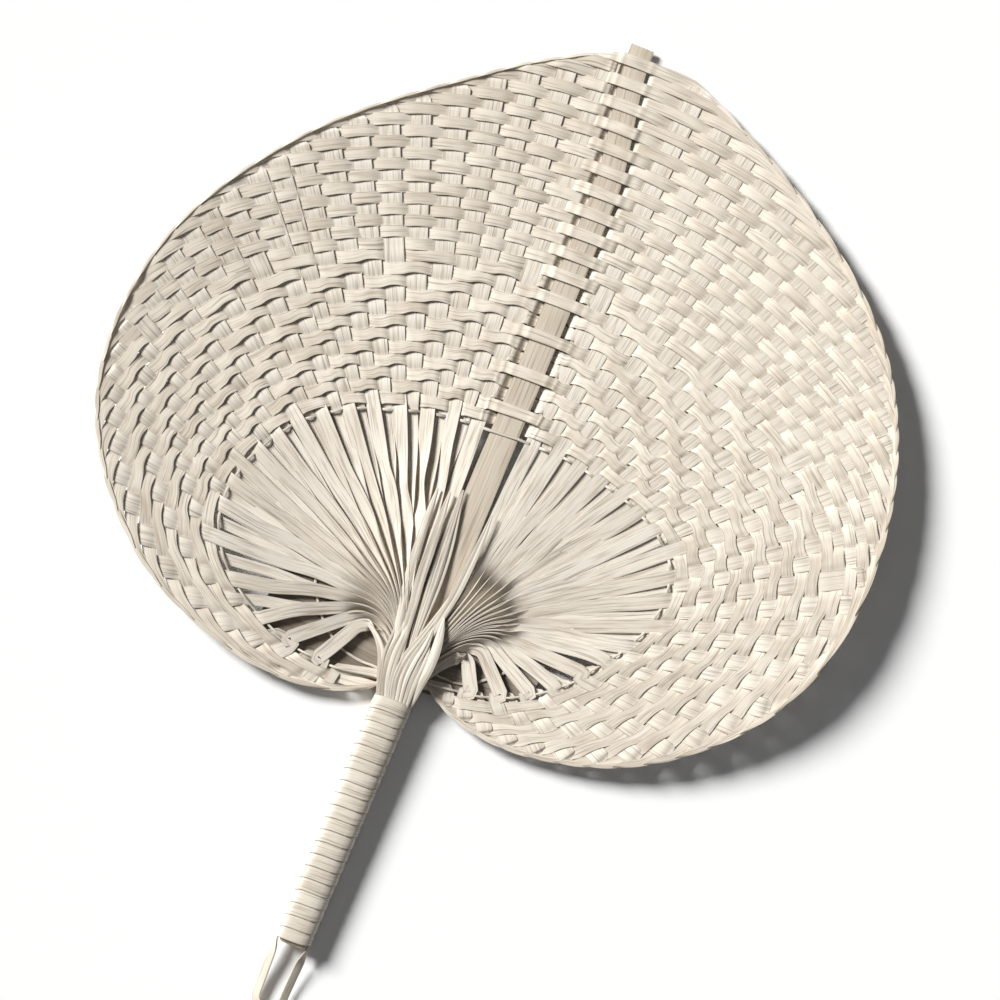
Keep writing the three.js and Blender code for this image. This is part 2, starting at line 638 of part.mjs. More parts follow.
// Points round the handle at a given inset, clockwise from above: four corners of even steps
function handleSection(y, inset) {
  const halfWidth = handleWidth(y) / 2 - inset;
  const halfDepth = handleDepth(y) / 2 - inset;
  const radius = WRAP_CORNER_RADIUS - inset;
  const corners = [
    [1, 1, 90], [1, -1, 0], [-1, -1, -90], [-1, 1, -180],
  ];
  return corners.flatMap(([signX, signZ, start]) => Array.from({ length: CORNER_STEPS + 1 }, (_, k) => {
    const angle = toRadians(start - (90 * k) / CORNER_STEPS);
    return {
      x: signX * (halfWidth - radius) + radius * Math.cos(angle),
      z: handleDepth(y) / 2 + signZ * (halfDepth - radius) + radius * Math.sin(angle),
      normal: new THREE.Vector3(Math.cos(angle), 0, Math.sin(angle)),
    };
  }));
}

function wrapStations() {
  const stepsPerTurn = 4 * (CORNER_STEPS + 1);
  const climb = WRAP_LENGTH - WRAP_STRIP_WIDTH;
  const stepCount = WRAP_TURNS * stepsPerTurn;
  const perimeterShares = sectionShares();
  return Array.from({ length: stepCount + 1 }, (_, k) => {
    const turn = Math.floor(k / stepsPerTurn) + perimeterShares[k % stepsPerTurn];
    const y = -WRAP_LENGTH + WRAP_STRIP_WIDTH / 2 + (climb * turn) / WRAP_TURNS;
    const place = handleSection(y, WRAP_THICKNESS / 2)[k % stepsPerTurn];
    const centre = new THREE.Vector3(place.x, y, place.z);
    const along = new THREE.Vector3(0, WRAP_STRIP_WIDTH / 2, 0);
    return {
      left: centre.clone().sub(along),
      right: centre.clone().add(along),
      lift: place.normal.clone().multiplyScalar(WRAP_THICKNESS / 2),
    };
  });
}

// Share of the way round the handle at each of the section's points
function sectionShares() {
  const points = handleSection(0, 0).map(({ x, z }) => new THREE.Vector2(x, z));
  const lengths = points.map((point, k) => point.distanceTo(points[(k + 1) % points.length]));
  const total = lengths.reduce((sum, length) => sum + length, 0);
  return points.map((_, k) => lengths.slice(0, k).reduce((sum, length) => sum + length, 0) / total);
}

function reportWrapGap(stations) {
  const stepsPerTurn = 4 * (CORNER_STEPS + 1);
  let least = Infinity;
  for (let k = 0; k + stepsPerTurn < stations.length; k += 1) {
    least = Math.min(least, stations[k + stepsPerTurn].left.distanceTo(stations[k].right));
  }
  console.log(`handle wrap: least gap between turns ${least.toFixed(2)} mm`);
}

// Core: the handle's solid stick, narrowed at its tail between the loop's strands
function coreGeometry() {
  const inset = WRAP_THICKNESS + CORE_GAP;
  const tailInset = LOOP_STRIP_THICKNESS + CORE_GAP;
  const tailStart = -WRAP_LENGTH + CORE_TAIL_LENGTH;
  const step = CORE_GAP;
  const rings = [
    [-WRAP_LENGTH - CORE_END_OVERHANG, tailInset], [tailStart, tailInset], [tailStart + step, 0],
    [-ROOT_DEPTH - CORE_GAP, 0],
  ];
  const positions = [];
  for (const [y, narrowing] of rings) {
    for (const { x, z } of handleSection(y, inset)) {
      positions.push(x - Math.sign(x) * narrowing, y, z);
    }
  }
  const count = handleSection(0, inset).length;
  const indices = [];
  for (let ring = 0; ring + 1 < rings.length; ring += 1) {
    for (let k = 0; k < count; k += 1) {
      const [a, b] = [ring * count + k, ring * count + ((k + 1) % count)];
      indices.push(a, b, b + count, a, b + count, a + count);
    }
  }
  for (let k = 1; k + 1 < count; k += 1) {
    indices.push(0, k + 1, k);
    const last = (rings.length - 1) * count;
    indices.push(last, last + k, last + k + 1);
  }
  const geometry = new THREE.BufferGeometry();
  geometry.setAttribute('position', new THREE.Float32BufferAttribute(positions, 3));
  geometry.setIndex(indices);
  return faceOutward(geometry);
}

// Hanging loop: one strip from the core's left side round the bow to its right side
function loopGeometry() {
  const exitY = -WRAP_LENGTH;
  const seatX = handleWidth(exitY) / 2 - WRAP_THICKNESS - CORE_GAP - LOOP_STRIP_THICKNESS / 2;
  const seatZ = handleDepth(exitY) / 2;
  const bowRadius = LOOP_BOW_WIDTH / 2;
  const bowY = exitY - LOOP_REACH + bowRadius;
  const side = (sign) => [
    [sign * seatX, exitY + CORE_TAIL_LENGTH - CORE_GAP, seatZ, 90],
    [sign * seatX, exitY, seatZ, 90],
    [sign * lerp(seatX, bowRadius, 1 / 3), lerp(exitY, bowY, 1 / 3), lerp(seatZ, LOOP_BOW_MID_HEIGHT, 1 / 3),
      lerp(90, LOOP_TILT, 1 / 2)],
    [sign * lerp(seatX, bowRadius, 2 / 3), lerp(exitY, bowY, 2 / 3), lerp(seatZ, LOOP_BOW_MID_HEIGHT, 2 / 3),
      LOOP_TILT],
  ];
  const bow = Array.from({ length: BOW_STEPS + 1 }, (_, k) => {
    const angle = toRadians(180 + (180 * k) / BOW_STEPS);
    return [bowRadius * Math.cos(angle), bowY + bowRadius * Math.sin(angle), LOOP_BOW_MID_HEIGHT, LOOP_TILT];
  });
  const path = [...side(-1), ...bow, ...side(1).reverse()];
  const points = path.map(([x, y, z]) => new THREE.Vector3(x, y, z));
  return stripGeometry(path.map(([, , , tilt], k) => {
    const before = points[Math.max(k - 1, 0)];
    const after = points[Math.min(k + 1, points.length - 1)];
    const direction = after.clone().sub(before).normalize();
    const up = new THREE.Vector3(0, 0, 1);
    return station(points[k], direction, up, LOOP_STRIP_WIDTH, LOOP_STRIP_THICKNESS, -tilt);
  }));
}

const fan = new THREE.Group();
const padded = (number) => String(number).padStart(2, '0');

function addMesh(name, geometry, material) {
  const mesh = new THREE.Mesh(geometry, material.clone());
  mesh.name = name;
  fan.add(mesh);
}

for (const [sideName, stakes] of [['left', leftStakes], ['right', rightStakes]]) {
  for (let group = 0; group < GROUPS_PER_SIDE; group += 1) {
    const first = group * STAKES_PER_GROUP;
    const members = stakes.slice(first, first + STAKES_PER_GROUP);
    addMesh(`stakes_${sideName}_${padded(group + 1)}`, stakeGroup(members), leaf);
  }
}
for (let row = 0; row < ROW_COUNT; row += 1) {
  addMesh(`weft_row_${padded(row + 1)}`, rowGeometry(row), leaf);
}
addMesh('lacing_outer', lacingGeometry(), leaf);
addMesh('lacing_inner', underLacingGeometry(), leaf);
addMesh('central_rib', ribGeometry(), ribWood);
addMesh('handle_core', coreGeometry(), ribWood);
const wrap = wrapStations();
reportWrapGap(wrap);
addMesh('handle_wrap', stripGeometry(wrap), wrapLeaf);
addMesh('hanging_loop', loopGeometry(), wrapLeaf);

// Origin at the middle of the footprint, on the ground
const box = new THREE.Box3().setFromObject(fan);
const middle = box.getCenter(new THREE.Vector3());
fan.position.set(-middle.x, -middle.y, -box.min.z);

export default fan;
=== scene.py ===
"""Dresses the woven hand fan: split stakes, woven rows, lacing, rib, wound handle and loop.

Lengths are millimetres in the fan's own frame, whose origin is the middle of the wrap's
upper end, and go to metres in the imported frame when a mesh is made.
"""

import logging
import math
from dataclasses import dataclass, field
from enum import Enum, IntEnum
from typing import Callable, Iterable

import bmesh
import bpy
import numpy as np
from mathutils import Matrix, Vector


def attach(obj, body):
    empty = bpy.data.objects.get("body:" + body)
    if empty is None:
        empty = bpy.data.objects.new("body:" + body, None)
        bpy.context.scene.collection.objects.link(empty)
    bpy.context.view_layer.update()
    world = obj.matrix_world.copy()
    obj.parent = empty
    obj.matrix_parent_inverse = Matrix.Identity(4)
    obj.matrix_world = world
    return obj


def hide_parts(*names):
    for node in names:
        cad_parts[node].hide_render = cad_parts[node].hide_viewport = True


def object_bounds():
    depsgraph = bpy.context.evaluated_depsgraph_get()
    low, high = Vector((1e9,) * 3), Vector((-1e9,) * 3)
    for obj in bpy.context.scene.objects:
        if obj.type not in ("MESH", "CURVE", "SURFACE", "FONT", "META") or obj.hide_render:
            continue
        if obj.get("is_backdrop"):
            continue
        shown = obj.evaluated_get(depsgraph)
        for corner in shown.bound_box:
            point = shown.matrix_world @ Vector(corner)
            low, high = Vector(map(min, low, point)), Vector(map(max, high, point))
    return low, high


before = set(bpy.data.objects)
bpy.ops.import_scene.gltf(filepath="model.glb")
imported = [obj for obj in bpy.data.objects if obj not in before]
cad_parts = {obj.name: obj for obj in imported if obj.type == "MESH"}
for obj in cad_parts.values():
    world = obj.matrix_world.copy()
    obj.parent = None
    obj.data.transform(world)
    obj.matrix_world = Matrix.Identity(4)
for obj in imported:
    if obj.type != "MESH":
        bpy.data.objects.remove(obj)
CAD_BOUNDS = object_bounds()
log = logging.getLogger("hand_fan")

Array = np.ndarray
Value = float | Array
Curve = Callable[[Array], Array]
Socket = bpy.types.NodeSocket
Feed = Socket | float | tuple[float, ...]

METRES = 0.001
# The fan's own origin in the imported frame
ORIGIN_SHIFT = np.array([1.406, -71.022, 0.0])
UP = np.array([0.0, 0.0, 1.0])
SEED = 7321
LEAST_LENGTH = 1e-9
# Halvings that find where a line crosses another
SEARCH_STEPS = 34


class Draw(IntEnum):
    """Streams of random numbers, so that each part keeps its own."""

    THROAT = 7
    TWIST = 8
    ROWS = 50
    LACING = 90
    RIB = 91
    WRAP = 92
    CORE = 93
    LOOP = 94


class Side(Enum):
    """Which side of the rib a strip belongs to."""

    LEFT = -1
    RIGHT = 1


def lerp(a: Value, b: Value, share: Value) -> Value:
    """Returns the value that lies the share of the way from a to b."""
    return a + (b - a) * share


def smooth(share: Value) -> Value:
    """Returns a soft step from 0 to 1."""
    t = np.clip(share, 0.0, 1.0)
    return t * t * (3 - 2 * t)


def ease(share: Value) -> Value:
    """Returns half a cosine wave from 0 to 1."""
    return (1 - np.cos(np.pi * np.clip(share, 0.0, 1.0))) / 2


def unit(vectors: Array) -> Array:
    """Returns the vectors at length one."""
    return vectors / np.maximum(np.linalg.norm(vectors, axis=-1, keepdims=True), LEAST_LENGTH)


def table_curve(pairs: Iterable[tuple[float, float]], scale: float) -> Curve:
    """Makes a smooth curve through a table of angles and shares.

    Args:
        pairs: Angle in degrees and share, in rising order of angle.
        scale: Length that the shares are of.

    Returns:
        A function from angles in degrees to lengths.
    """
    angles, shares = (np.array(column, dtype=float) for column in zip(*pairs))
    last = len(angles) - 1

    def evaluate(degrees: Array) -> Array:
        """Evaluates the curve.

        Args:
            degrees: Angles, held inside the table's range.

        Returns:
            The lengths there.
        """
        x = np.clip(np.asarray(degrees, dtype=float), angles[0], angles[-1])
        after = np.clip(np.searchsorted(angles, x, side="right"), 1, last)
        before = after - 1
        t0, t1 = angles[before], angles[after]
        at_start, at_end = before == 0, after == last
        earlier = np.where(at_start, after, before - 1)
        later = np.where(at_end, before, np.minimum(after + 1, last))
        half = (t1 - t0) / 2
        w_prev = half / (t0 - angles[earlier])
        w_next = half / (angles[later] - t1)
        p = (x - t0) / (t1 - t0)
        p2, p3 = p * p, p * p * p
        value = (-w_prev * p3 + 2 * w_prev * p2 - w_prev * p) * shares[earlier]
        value += ((1 + w_prev) * p3 + (-1.5 - 2 * w_prev) * p2 + (-0.5 + w_prev) * p + 1) * shares[before]
        value += ((-1 - w_next) * p3 + (1.5 + w_next) * p2 + 0.5 * p) * shares[after]
        value += (w_next * p3 - w_next * p2) * shares[later]
        return value * scale

    return evaluate


# --------------------------------------------------------------------------- finishes


class NodeGroup:
    """A shader node group with named inputs and outputs."""

    def __init__(self, name: str) -> None:
        """Starts an empty group.

        Args:
            name: The group's name.
        """
        self.tree = bpy.data.node_groups.new(name, "ShaderNodeTree")
        self.entry = self.tree.nodes.new("NodeGroupInput")
        self.exit = self.tree.nodes.new("NodeGroupOutput")

    def takes(self, name: str, kind: str, value: float | None = None) -> None:
        """Adds an input socket.

        Args:
            name: The socket's name.
            kind: Its type.
            value: Its usual value.
        """
        socket = self.tree.interface.new_socket(name=name, in_out="INPUT", socket_type=kind)
        if value is not None:
            socket.default_value = value

    def gives(self, name: str, kind: str) -> None:
        """Adds an output socket."""
        self.tree.interface.new_socket(name=name, in_out="OUTPUT", socket_type=kind)

    def node(self, kind: str, **settings: object) -> bpy.types.Node:
        """Adds a node with settings."""
        return add_node(self.tree, kind, **settings)

    def math(self, operation: str, first: Feed, second: Feed = 0.0) -> Socket:
        """Adds a Math node and returns its output.

        Args:
            operation: The Math node's operation.
            first: A socket or a number.
            second: A socket or a number.

        Returns:
            The node's output socket.
        """
        node = self.node("ShaderNodeMath", operation=operation)
        for socket, value in zip(node.inputs, (first, second)):
            feed(self.tree, value, socket)
        return node.outputs[0]

    def scaled(self, first: Feed, second: Feed, gain: float) -> Socket:
        """Returns the difference of two values times a gain."""
        return self.math("MULTIPLY", self.math("SUBTRACT", first, second), gain)

    def clamped(self, value: Feed) -> Socket:
        """Holds a value between 0 and 1.

        Args:
            value: A socket or a number.

        Returns:
            The held value.
        """
        node = self.node("ShaderNodeClamp")
        feed(self.tree, value, node.inputs[0])
        return node.outputs[0]

    def returns(self, name: str, value: Feed) -> None:
        """Links a value to an output socket."""
        feed(self.tree, value, self.exit.inputs[name])


def add_node(tree: bpy.types.NodeTree, kind: str, **settings: object) -> bpy.types.Node:
    """Adds a node to a tree.

    Args:
        tree: The tree.
        kind: The node's type.
        **settings: Values of its properties.

    Returns:
        The new node.
    """
    node = tree.nodes.new(kind)
    for name, value in settings.items():
        setattr(node, name, value)
    return node


def feed(tree: bpy.types.NodeTree, value: Feed, socket: Socket) -> None:
    """Links a socket to another, or sets its value.

    Args:
        tree: The tree they are in.
        value: A socket or the value to set.
        socket: The socket that takes it.
    """
    if isinstance(value, bpy.types.NodeSocket):
        tree.links.new(value, socket)
    else:
        socket.default_value = value


# Scale along and across a strip and detail of each noise
BROAD_NOISE = (1.0, 0.45, 2.0)
FINE_NOISE = (1.3, 1.25, 2.0)
CLOUD_NOISE = (1.4, 0.06, 2.0)
HAIR_NOISE = (0.7, 1.1, 1.0)
NOISE_ROUGHNESS = 0.6
BROAD_SHARE = 0.6
STREAK_GAIN = 3.0
HAIR_LEVEL = 0.43
HAIR_GAIN = 8.0


def fibre_group() -> bpy.types.NodeTree:
    """Builds the lengthwise fibre lines of split bamboo.

    Returns:
        A group from a strip's coordinates to its streaks, clouds, dark hairs and relief.
    """
    group = NodeGroup("split_fibre")
    group.takes("Vector", "NodeSocketVector")
    group.takes("Along", "NodeSocketFloat", 0.5)
    group.takes("Across", "NodeSocketFloat", 12.0)
    group.takes("Streak Contrast", "NodeSocketFloat", 1.0)
    for name in ("Streak", "Cloud", "Height", "Hair"):
        group.gives(name, "NodeSocketFloat")
    parts = group.node("ShaderNodeSeparateXYZ")
    feed(group.tree, group.entry.outputs["Vector"], parts.inputs[0])

    def stretched(along_scale: float, across_scale: float, detail: float) -> Socket:
        """Adds a noise drawn out along the strip.

        Args:
            along_scale: Its scale along the strip.
            across_scale: Its scale across the strip.
            detail: Its detail.

        Returns:
            The noise's value.
        """
        joined = group.node("ShaderNodeCombineXYZ")
        along = group.math("MULTIPLY", parts.outputs[0], group.entry.outputs["Along"])
        across = group.math("MULTIPLY", parts.outputs[1], group.entry.outputs["Across"])
        feed(group.tree, group.math("MULTIPLY", along, along_scale), joined.inputs[0])
        feed(group.tree, group.math("MULTIPLY", across, across_scale), joined.inputs[1])
        noise = group.node("ShaderNodeTexNoise")
        for name, value in {"Scale": 1.0, "Detail": detail, "Roughness": NOISE_ROUGHNESS}.items():
            noise.inputs[name].default_value = value
        feed(group.tree, joined.outputs[0], noise.inputs["Vector"])
        return noise.outputs["Fac"]

    broad = group.math("MULTIPLY", stretched(*BROAD_NOISE), BROAD_SHARE)
    fine = group.math("MULTIPLY", stretched(*FINE_NOISE), 1 - BROAD_SHARE)
    mixed = group.math("ADD", broad, fine)
    raised = group.scaled(mixed, 0.5, STREAK_GAIN)
    raised = group.math("MULTIPLY", raised, group.entry.outputs["Streak Contrast"])
    group.returns("Streak", group.clamped(group.math("ADD", raised, 0.5)))
    group.returns("Cloud", stretched(*CLOUD_NOISE))
    group.returns("Hair", group.clamped(group.scaled(HAIR_LEVEL, stretched(*HAIR_NOISE), HAIR_GAIN)))
    group.returns("Height", mixed)
    return group.tree


# What a strip's tint and clouds add to its ripeness, and from where they ripen it
TINT_SHARE = 0.6
CLOUD_SHARE = 0.5
RIPE_LEVEL = 0.36
# From where and how fast greenish spots, fibre lines, the painted shade along the low side and the painted
# shade at both edges show
FRESH_LEVEL, FRESH_GAIN = 0.45, 2.2
LINE_LEVEL, LINE_GAIN = 0.52, 1.3
LOW_SHADE_LEVEL, LOW_SHADE_GAIN = 0.84, 2.4
EDGE_SHADE_LEVEL, EDGE_SHADE_GAIN = 0.9, 3.2
HAIR_SHARE = 0.42
STREAK_ROUGHNESS = 0.16


def tint_group() -> bpy.types.NodeTree:
    """Builds the change of colour from strip to strip and along a strip, and the painted shade at its edges.

    Returns:
        A group from a strip's tint, place across, streaks and clouds to its colour and roughness.
    """
    group = NodeGroup("strip_tint")
    for name in ("Pale", "Ripe", "Fresh", "Bark_And_Shade"):
        group.takes(name, "NodeSocketColor")
    for name in ("Tint", "Streak", "Cloud", "Hair", "Depth", "Sheen Base", "Edge", "Painted Shade Side"):
        group.takes(name, "NodeSocketFloat", 0.5)
    group.gives("Color", "NodeSocketColor")
    group.gives("Roughness", "NodeSocketFloat")
    into = group.entry.outputs

    def mixed(share: Feed, first: Feed, second: Feed) -> Socket:
        """Mixes two colours.

        Args:
            share: Share of the second.
            first: The first colour.
            second: The second colour.

        Returns:
            The mixed colour.
        """
        node = group.node("ShaderNodeMix", data_type="RGBA")
        for name, value in {"Factor": share, "A": first, "B": second}.items():
            feed(group.tree, value, node.inputs[name])
        return node.outputs["Result"]

    ripeness = group.math(
        "ADD",
        group.math("MULTIPLY", into["Tint"], TINT_SHARE),
        group.math("MULTIPLY", into["Cloud"], CLOUD_SHARE),
    )
    ripeness = group.math("MULTIPLY", group.math("SUBTRACT", ripeness, RIPE_LEVEL), into["Depth"])
    greenish = group.scaled(into["Cloud"], FRESH_LEVEL, FRESH_GAIN)
    body = mixed(ripeness, into["Pale"], mixed(greenish, into["Ripe"], into["Fresh"]))
    body = mixed(group.scaled(LINE_LEVEL, into["Streak"], LINE_GAIN), body, into["Ripe"])
    body = mixed(group.math("MULTIPLY", into["Hair"], HAIR_SHARE), body, into["Bark_And_Shade"])
    # Painted shade: the colour darkens toward the dark bamboo colour along the low side and at both edges, as
    # shade between neighbouring strips
    low = group.scaled(group.math("MULTIPLY", into["Edge"], into["Painted Shade Side"]), LOW_SHADE_LEVEL, LOW_SHADE_GAIN)
    rim = group.scaled(group.math("ABSOLUTE", into["Edge"]), EDGE_SHADE_LEVEL, EDGE_SHADE_GAIN)
    colour = mixed(group.math("MAXIMUM", low, rim), body, into["Bark_And_Shade"])
    # A tint over 1 darkens a strip toward the dark bamboo colour: painted shade, for strips laid where there
    # is only shade
    group.returns("Color", mixed(group.math("SUBTRACT", into["Tint"], 1.0), colour, into["Bark_And_Shade"]))
    streaked = group.math("MULTIPLY", into["Streak"], STREAK_ROUGHNESS)
    group.returns("Roughness", group.math("ADD", into["Sheen Base"], streaked))
    return group.tree


@dataclass(frozen=True)
class StripFinish:
    """Finish of a split bamboo strip, in linear colours."""

    name: str
    pale: tuple[float, float, float] = (0.82, 0.755, 0.665)
    ripe: tuple[float, float, float] = (0.50, 0.41, 0.31)
    fresh: tuple[float, float, float] = (0.58, 0.54, 0.41)
    # Dark colour of the fibre hairs, and also the colour that painted shade darkens strips toward
    bark_and_shade: tuple[float, float, float] = (0.13, 0.1, 0.075)
    # Which edge gets the painted shade line: 1 the second edge, -1 the first
    painted_shade_side: float = 1.0
    depth: float = 0.8
    streaks: float = 1.0
    along: float = 0.55
    across: float = 12.0
    roughness: float = 0.5
    relief: float = 0.7
    relief_depth: float = 0.0003
    gloss: float = 0.35

    def material(self, fibre: bpy.types.NodeTree, tint: bpy.types.NodeTree) -> bpy.types.Material:
        """Builds the material.

        Args:
            fibre: The fibre group.
            tint: The tint group.

        Returns:
            The new material.
        """
        made = bpy.data.materials.new(self.name)
        made.use_nodes = True
        tree = made.node_tree
        place = add_node(tree, "ShaderNodeUVMap", uv_map="strip")
        lines = add_node(tree, "ShaderNodeGroup", node_tree=fibre)
        along = {"Along": self.along, "Across": self.across, "Streak Contrast": self.streaks}
        for name, value in {"Vector": place.outputs["UV"], **along}.items():
            feed(tree, value, lines.inputs[name])
        dye = add_node(tree, "ShaderNodeGroup", node_tree=tint)
        inks = {"Painted Shade Side": self.painted_shade_side, "Depth": self.depth, "Sheen Base": self.roughness}
        for label in ("tint", "edge"):
            own = add_node(tree, "ShaderNodeAttribute", attribute_name=label)
            inks[label.title()] = own.outputs["Fac"]
        for name in ("Streak", "Cloud", "Hair"):
            inks[name] = lines.outputs[name]
        for name in ("pale", "ripe", "fresh", "bark_and_shade"):
            inks[name.title()] = (*getattr(self, name), 1.0)
        for name, value in inks.items():
            feed(tree, value, dye.inputs[name])
        bump = add_node(tree, "ShaderNodeBump")
        bump.inputs["Strength"].default_value = self.relief
        bump.inputs["Distance"].default_value = self.relief_depth
        feed(tree, lines.outputs["Height"], bump.inputs["Height"])
        shader = tree.nodes["Principled BSDF"]
        shader.inputs["Specular IOR Level"].default_value = self.gloss
        feed(tree, dye.outputs["Color"], shader.inputs["Base Color"])
        feed(tree, dye.outputs["Roughness"], shader.inputs["Roughness"])
        feed(tree, bump.outputs["Normal"], shader.inputs["Normal"])
        return made


class Workshop:
    """Makes each finish once and hands it out."""

    def __init__(self) -> None:
        """Builds the shared groups."""
        self.fibre = fibre_group()
        self.tint = tint_group()
        self.made: dict[str, bpy.types.Material] = {}

    def finish(self, finish: StripFinish) -> bpy.types.Material:
        """Makes a finish's material on first use.

        Args:
            finish: The finish.

        Returns:
            Its material.
        """
        if finish.name not in self.made:
            self.made[finish.name] = finish.material(self.fibre, self.tint)
        return self.made[finish.name]


STAKE_FINISH = StripFinish("stake_bamboo", pale=(0.885, 0.825, 0.73), depth=0.6, streaks=1.1)
# Rows darken their inner edge and the wrap the edge of each turn toward the handle's end: painted shade lines
ROW_FINISH = StripFinish("row_bamboo", pale=(0.885, 0.815, 0.71), depth=0.95, painted_shade_side=-1.0)
# The lacing's near-black ripe colour is partly a darker sliver skin, partly painted shade of the grooves the
# slivers lie in
LACING_FINISH = StripFinish("lacing_bamboo", pale=(0.82, 0.76, 0.67), ripe=(0.16, 0.13, 0.1), depth=1.0)
RIB_FINISH = StripFinish("rib_bamboo", pale=(0.70, 0.625, 0.52), depth=0.7, along=0.35, across=9.0)
CORE_FINISH = StripFinish("core_bamboo", pale=(0.66, 0.565, 0.43), depth=0.8, across=9.0)
WRAP_FINISH = StripFinish("wrap_bamboo", pale=(0.80, 0.74, 0.645), depth=0.55, roughness=0.42, painted_shade_side=-1.0)
LOOP_FINISH = StripFinish("loop_bamboo", pale=(0.78, 0.71, 0.61), depth=0.6, roughness=0.48)


# --------------------------------------------------------------------------- meshes


@dataclass
class StripPath:
    """A strip as two edges and the unit vector to its upper face, one of each at every station."""

    first: Array
    second: Array
    lift: Array
    thickness: float | Array
    crown: float | Array = 0.0
    tint: float | Array = 0.5


class StripMesh:
    """Gathers closed strips into one mesh with strip coordinates and tints."""

    ACROSS = np.linspace(-1.0, 1.0, 5)
    # Millimetres to one unit of strip coordinates, and the range in which strips start there
    UNIT_LENGTH = 10
    START_RANGE = 60
    UNDERSIDE_SHIFT = 3.0
    SHARP_DEGREES = 48

    def __init__(self, rng: np.random.Generator) -> None:
        """Starts with no strips.

        Args:
            rng: Source of the strips' starts in their coordinates.
        """
        self.rng = rng
        self.places: list[Array] = []
        self.coordinates: list[Array] = []
        self.tints: list[Array] = []
        self.edges: list[Array] = []
        self.faces: list[tuple[int, ...]] = []
        self.count = 0

    def add(self, path: StripPath) -> None:
        """Adds one strip as a ring of points at each station.

        Args:
            path: The strip.
        """
        stations = len(path.first)
        half_thickness = np.broadcast_to(np.asarray(path.thickness, dtype=float) / 2, (stations,))
        crown = np.broadcast_to(np.asarray(path.crown, dtype=float), (stations,))
        tint = np.broadcast_to(np.asarray(path.tint, dtype=float), (stations,))
        middle = (path.first + path.second) / 2
        half = (path.second - path.first) / 2
        across = np.concatenate([self.ACROSS, self.ACROSS[::-1]])
        above = np.repeat([1.0, -1.0], len(self.ACROSS))
        rise = crown[:, None] * (1 - across**2)[None, :] + above[None, :] * half_thickness[:, None]
        ring = middle[:, None] + half[:, None] * across[None, :, None]
        ring = ring + path.lift[:, None] * rise[..., None]
        size = len(across)
        steps = np.linalg.norm(np.diff(middle, axis=0), axis=1)
        along = np.concatenate([[0.0], np.cumsum(steps)]) / self.UNIT_LENGTH
        along = along + self.rng.uniform(0, self.START_RANGE)
        wide = np.linalg.norm(half, axis=1)[:, None] * across[None, :] / self.UNIT_LENGTH
        wide = wide + self.rng.uniform(0, self.START_RANGE)
        wide = wide + np.where(above < 0, self.UNDERSIDE_SHIFT, 0.0)
        self.places.append(ring.reshape(-1, 3))
        self.coordinates.append(
            np.stack([np.broadcast_to(along[:, None], wide.shape), wide], axis=-1).reshape(-1, 2)
        )
        self.tints.append(np.repeat(tint, size))
        # The place across each ring, from which the finish paints shade at the strip's edges
        self.edges.append(np.tile(across, stations))
        base = self.count
        for s in range(stations - 1):
            low, high = base + s * size, base + (s + 1) * size
            for k in range(size):
                n = (k + 1) % size
                self.faces.append((low + k, low + n, high + n, high + k))
        self.faces.append(tuple(base + k for k in reversed(range(size))))
        self.faces.append(tuple(base + (stations - 1) * size + k for k in range(size)))
        self.count += stations * size

    def piece(self, name: str, material: bpy.types.Material) -> bpy.types.Object:
        """Makes the object.

        Args:
            name: The piece's name.
            material: Its finish.

        Returns:
            The new object, facing outward.
        """
        mesh = bpy.data.meshes.new(name)
        places = (np.concatenate(self.places) + ORIGIN_SHIFT) * METRES
        mesh.from_pydata(places.tolist(), [], self.faces)
        corners = np.empty(len(mesh.loops), dtype=np.int32)
        mesh.loops.foreach_get("vertex_index", corners)
        layer = mesh.uv_layers.new(name="strip")
        layer.data.foreach_set("uv", np.concatenate(self.coordinates)[corners].astype(np.float32).ravel())
        for label, values in (("tint", self.tints), ("edge", self.edges)):
            made = mesh.attributes.new(label, "FLOAT", "POINT")
            made.data.foreach_set("value", np.concatenate(values).astype(np.float32))
        work = bmesh.new()
        work.from_mesh(mesh)
        bmesh.ops.recalc_face_normals(work, faces=work.faces)
        work.to_mesh(mesh)
        work.free()
        mesh.shade_smooth()
        mesh.set_sharp_from_angle(angle=math.radians(self.SHARP_DEGREES))
        mesh.materials.append(material)
        made = bpy.data.objects.new(name, mesh)
        bpy.context.scene.collection.objects.link(made)
        return made


def fit_out(piece: bpy.types.Object, slot: str, *nodes: str) -> None:
    """Rides a piece on the fan's body and hides what it stands for.

    Args:
        piece: The piece.
        slot: Its material slot; not used.
        *nodes: The nodes it replaces.
    """
    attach(piece, "root")
    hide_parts(*nodes)
    log.info("%s: %d faces for %s", piece.name, len(piece.data.polygons), ", ".join(nodes))


# --------------------------------------------------------------------------- blade


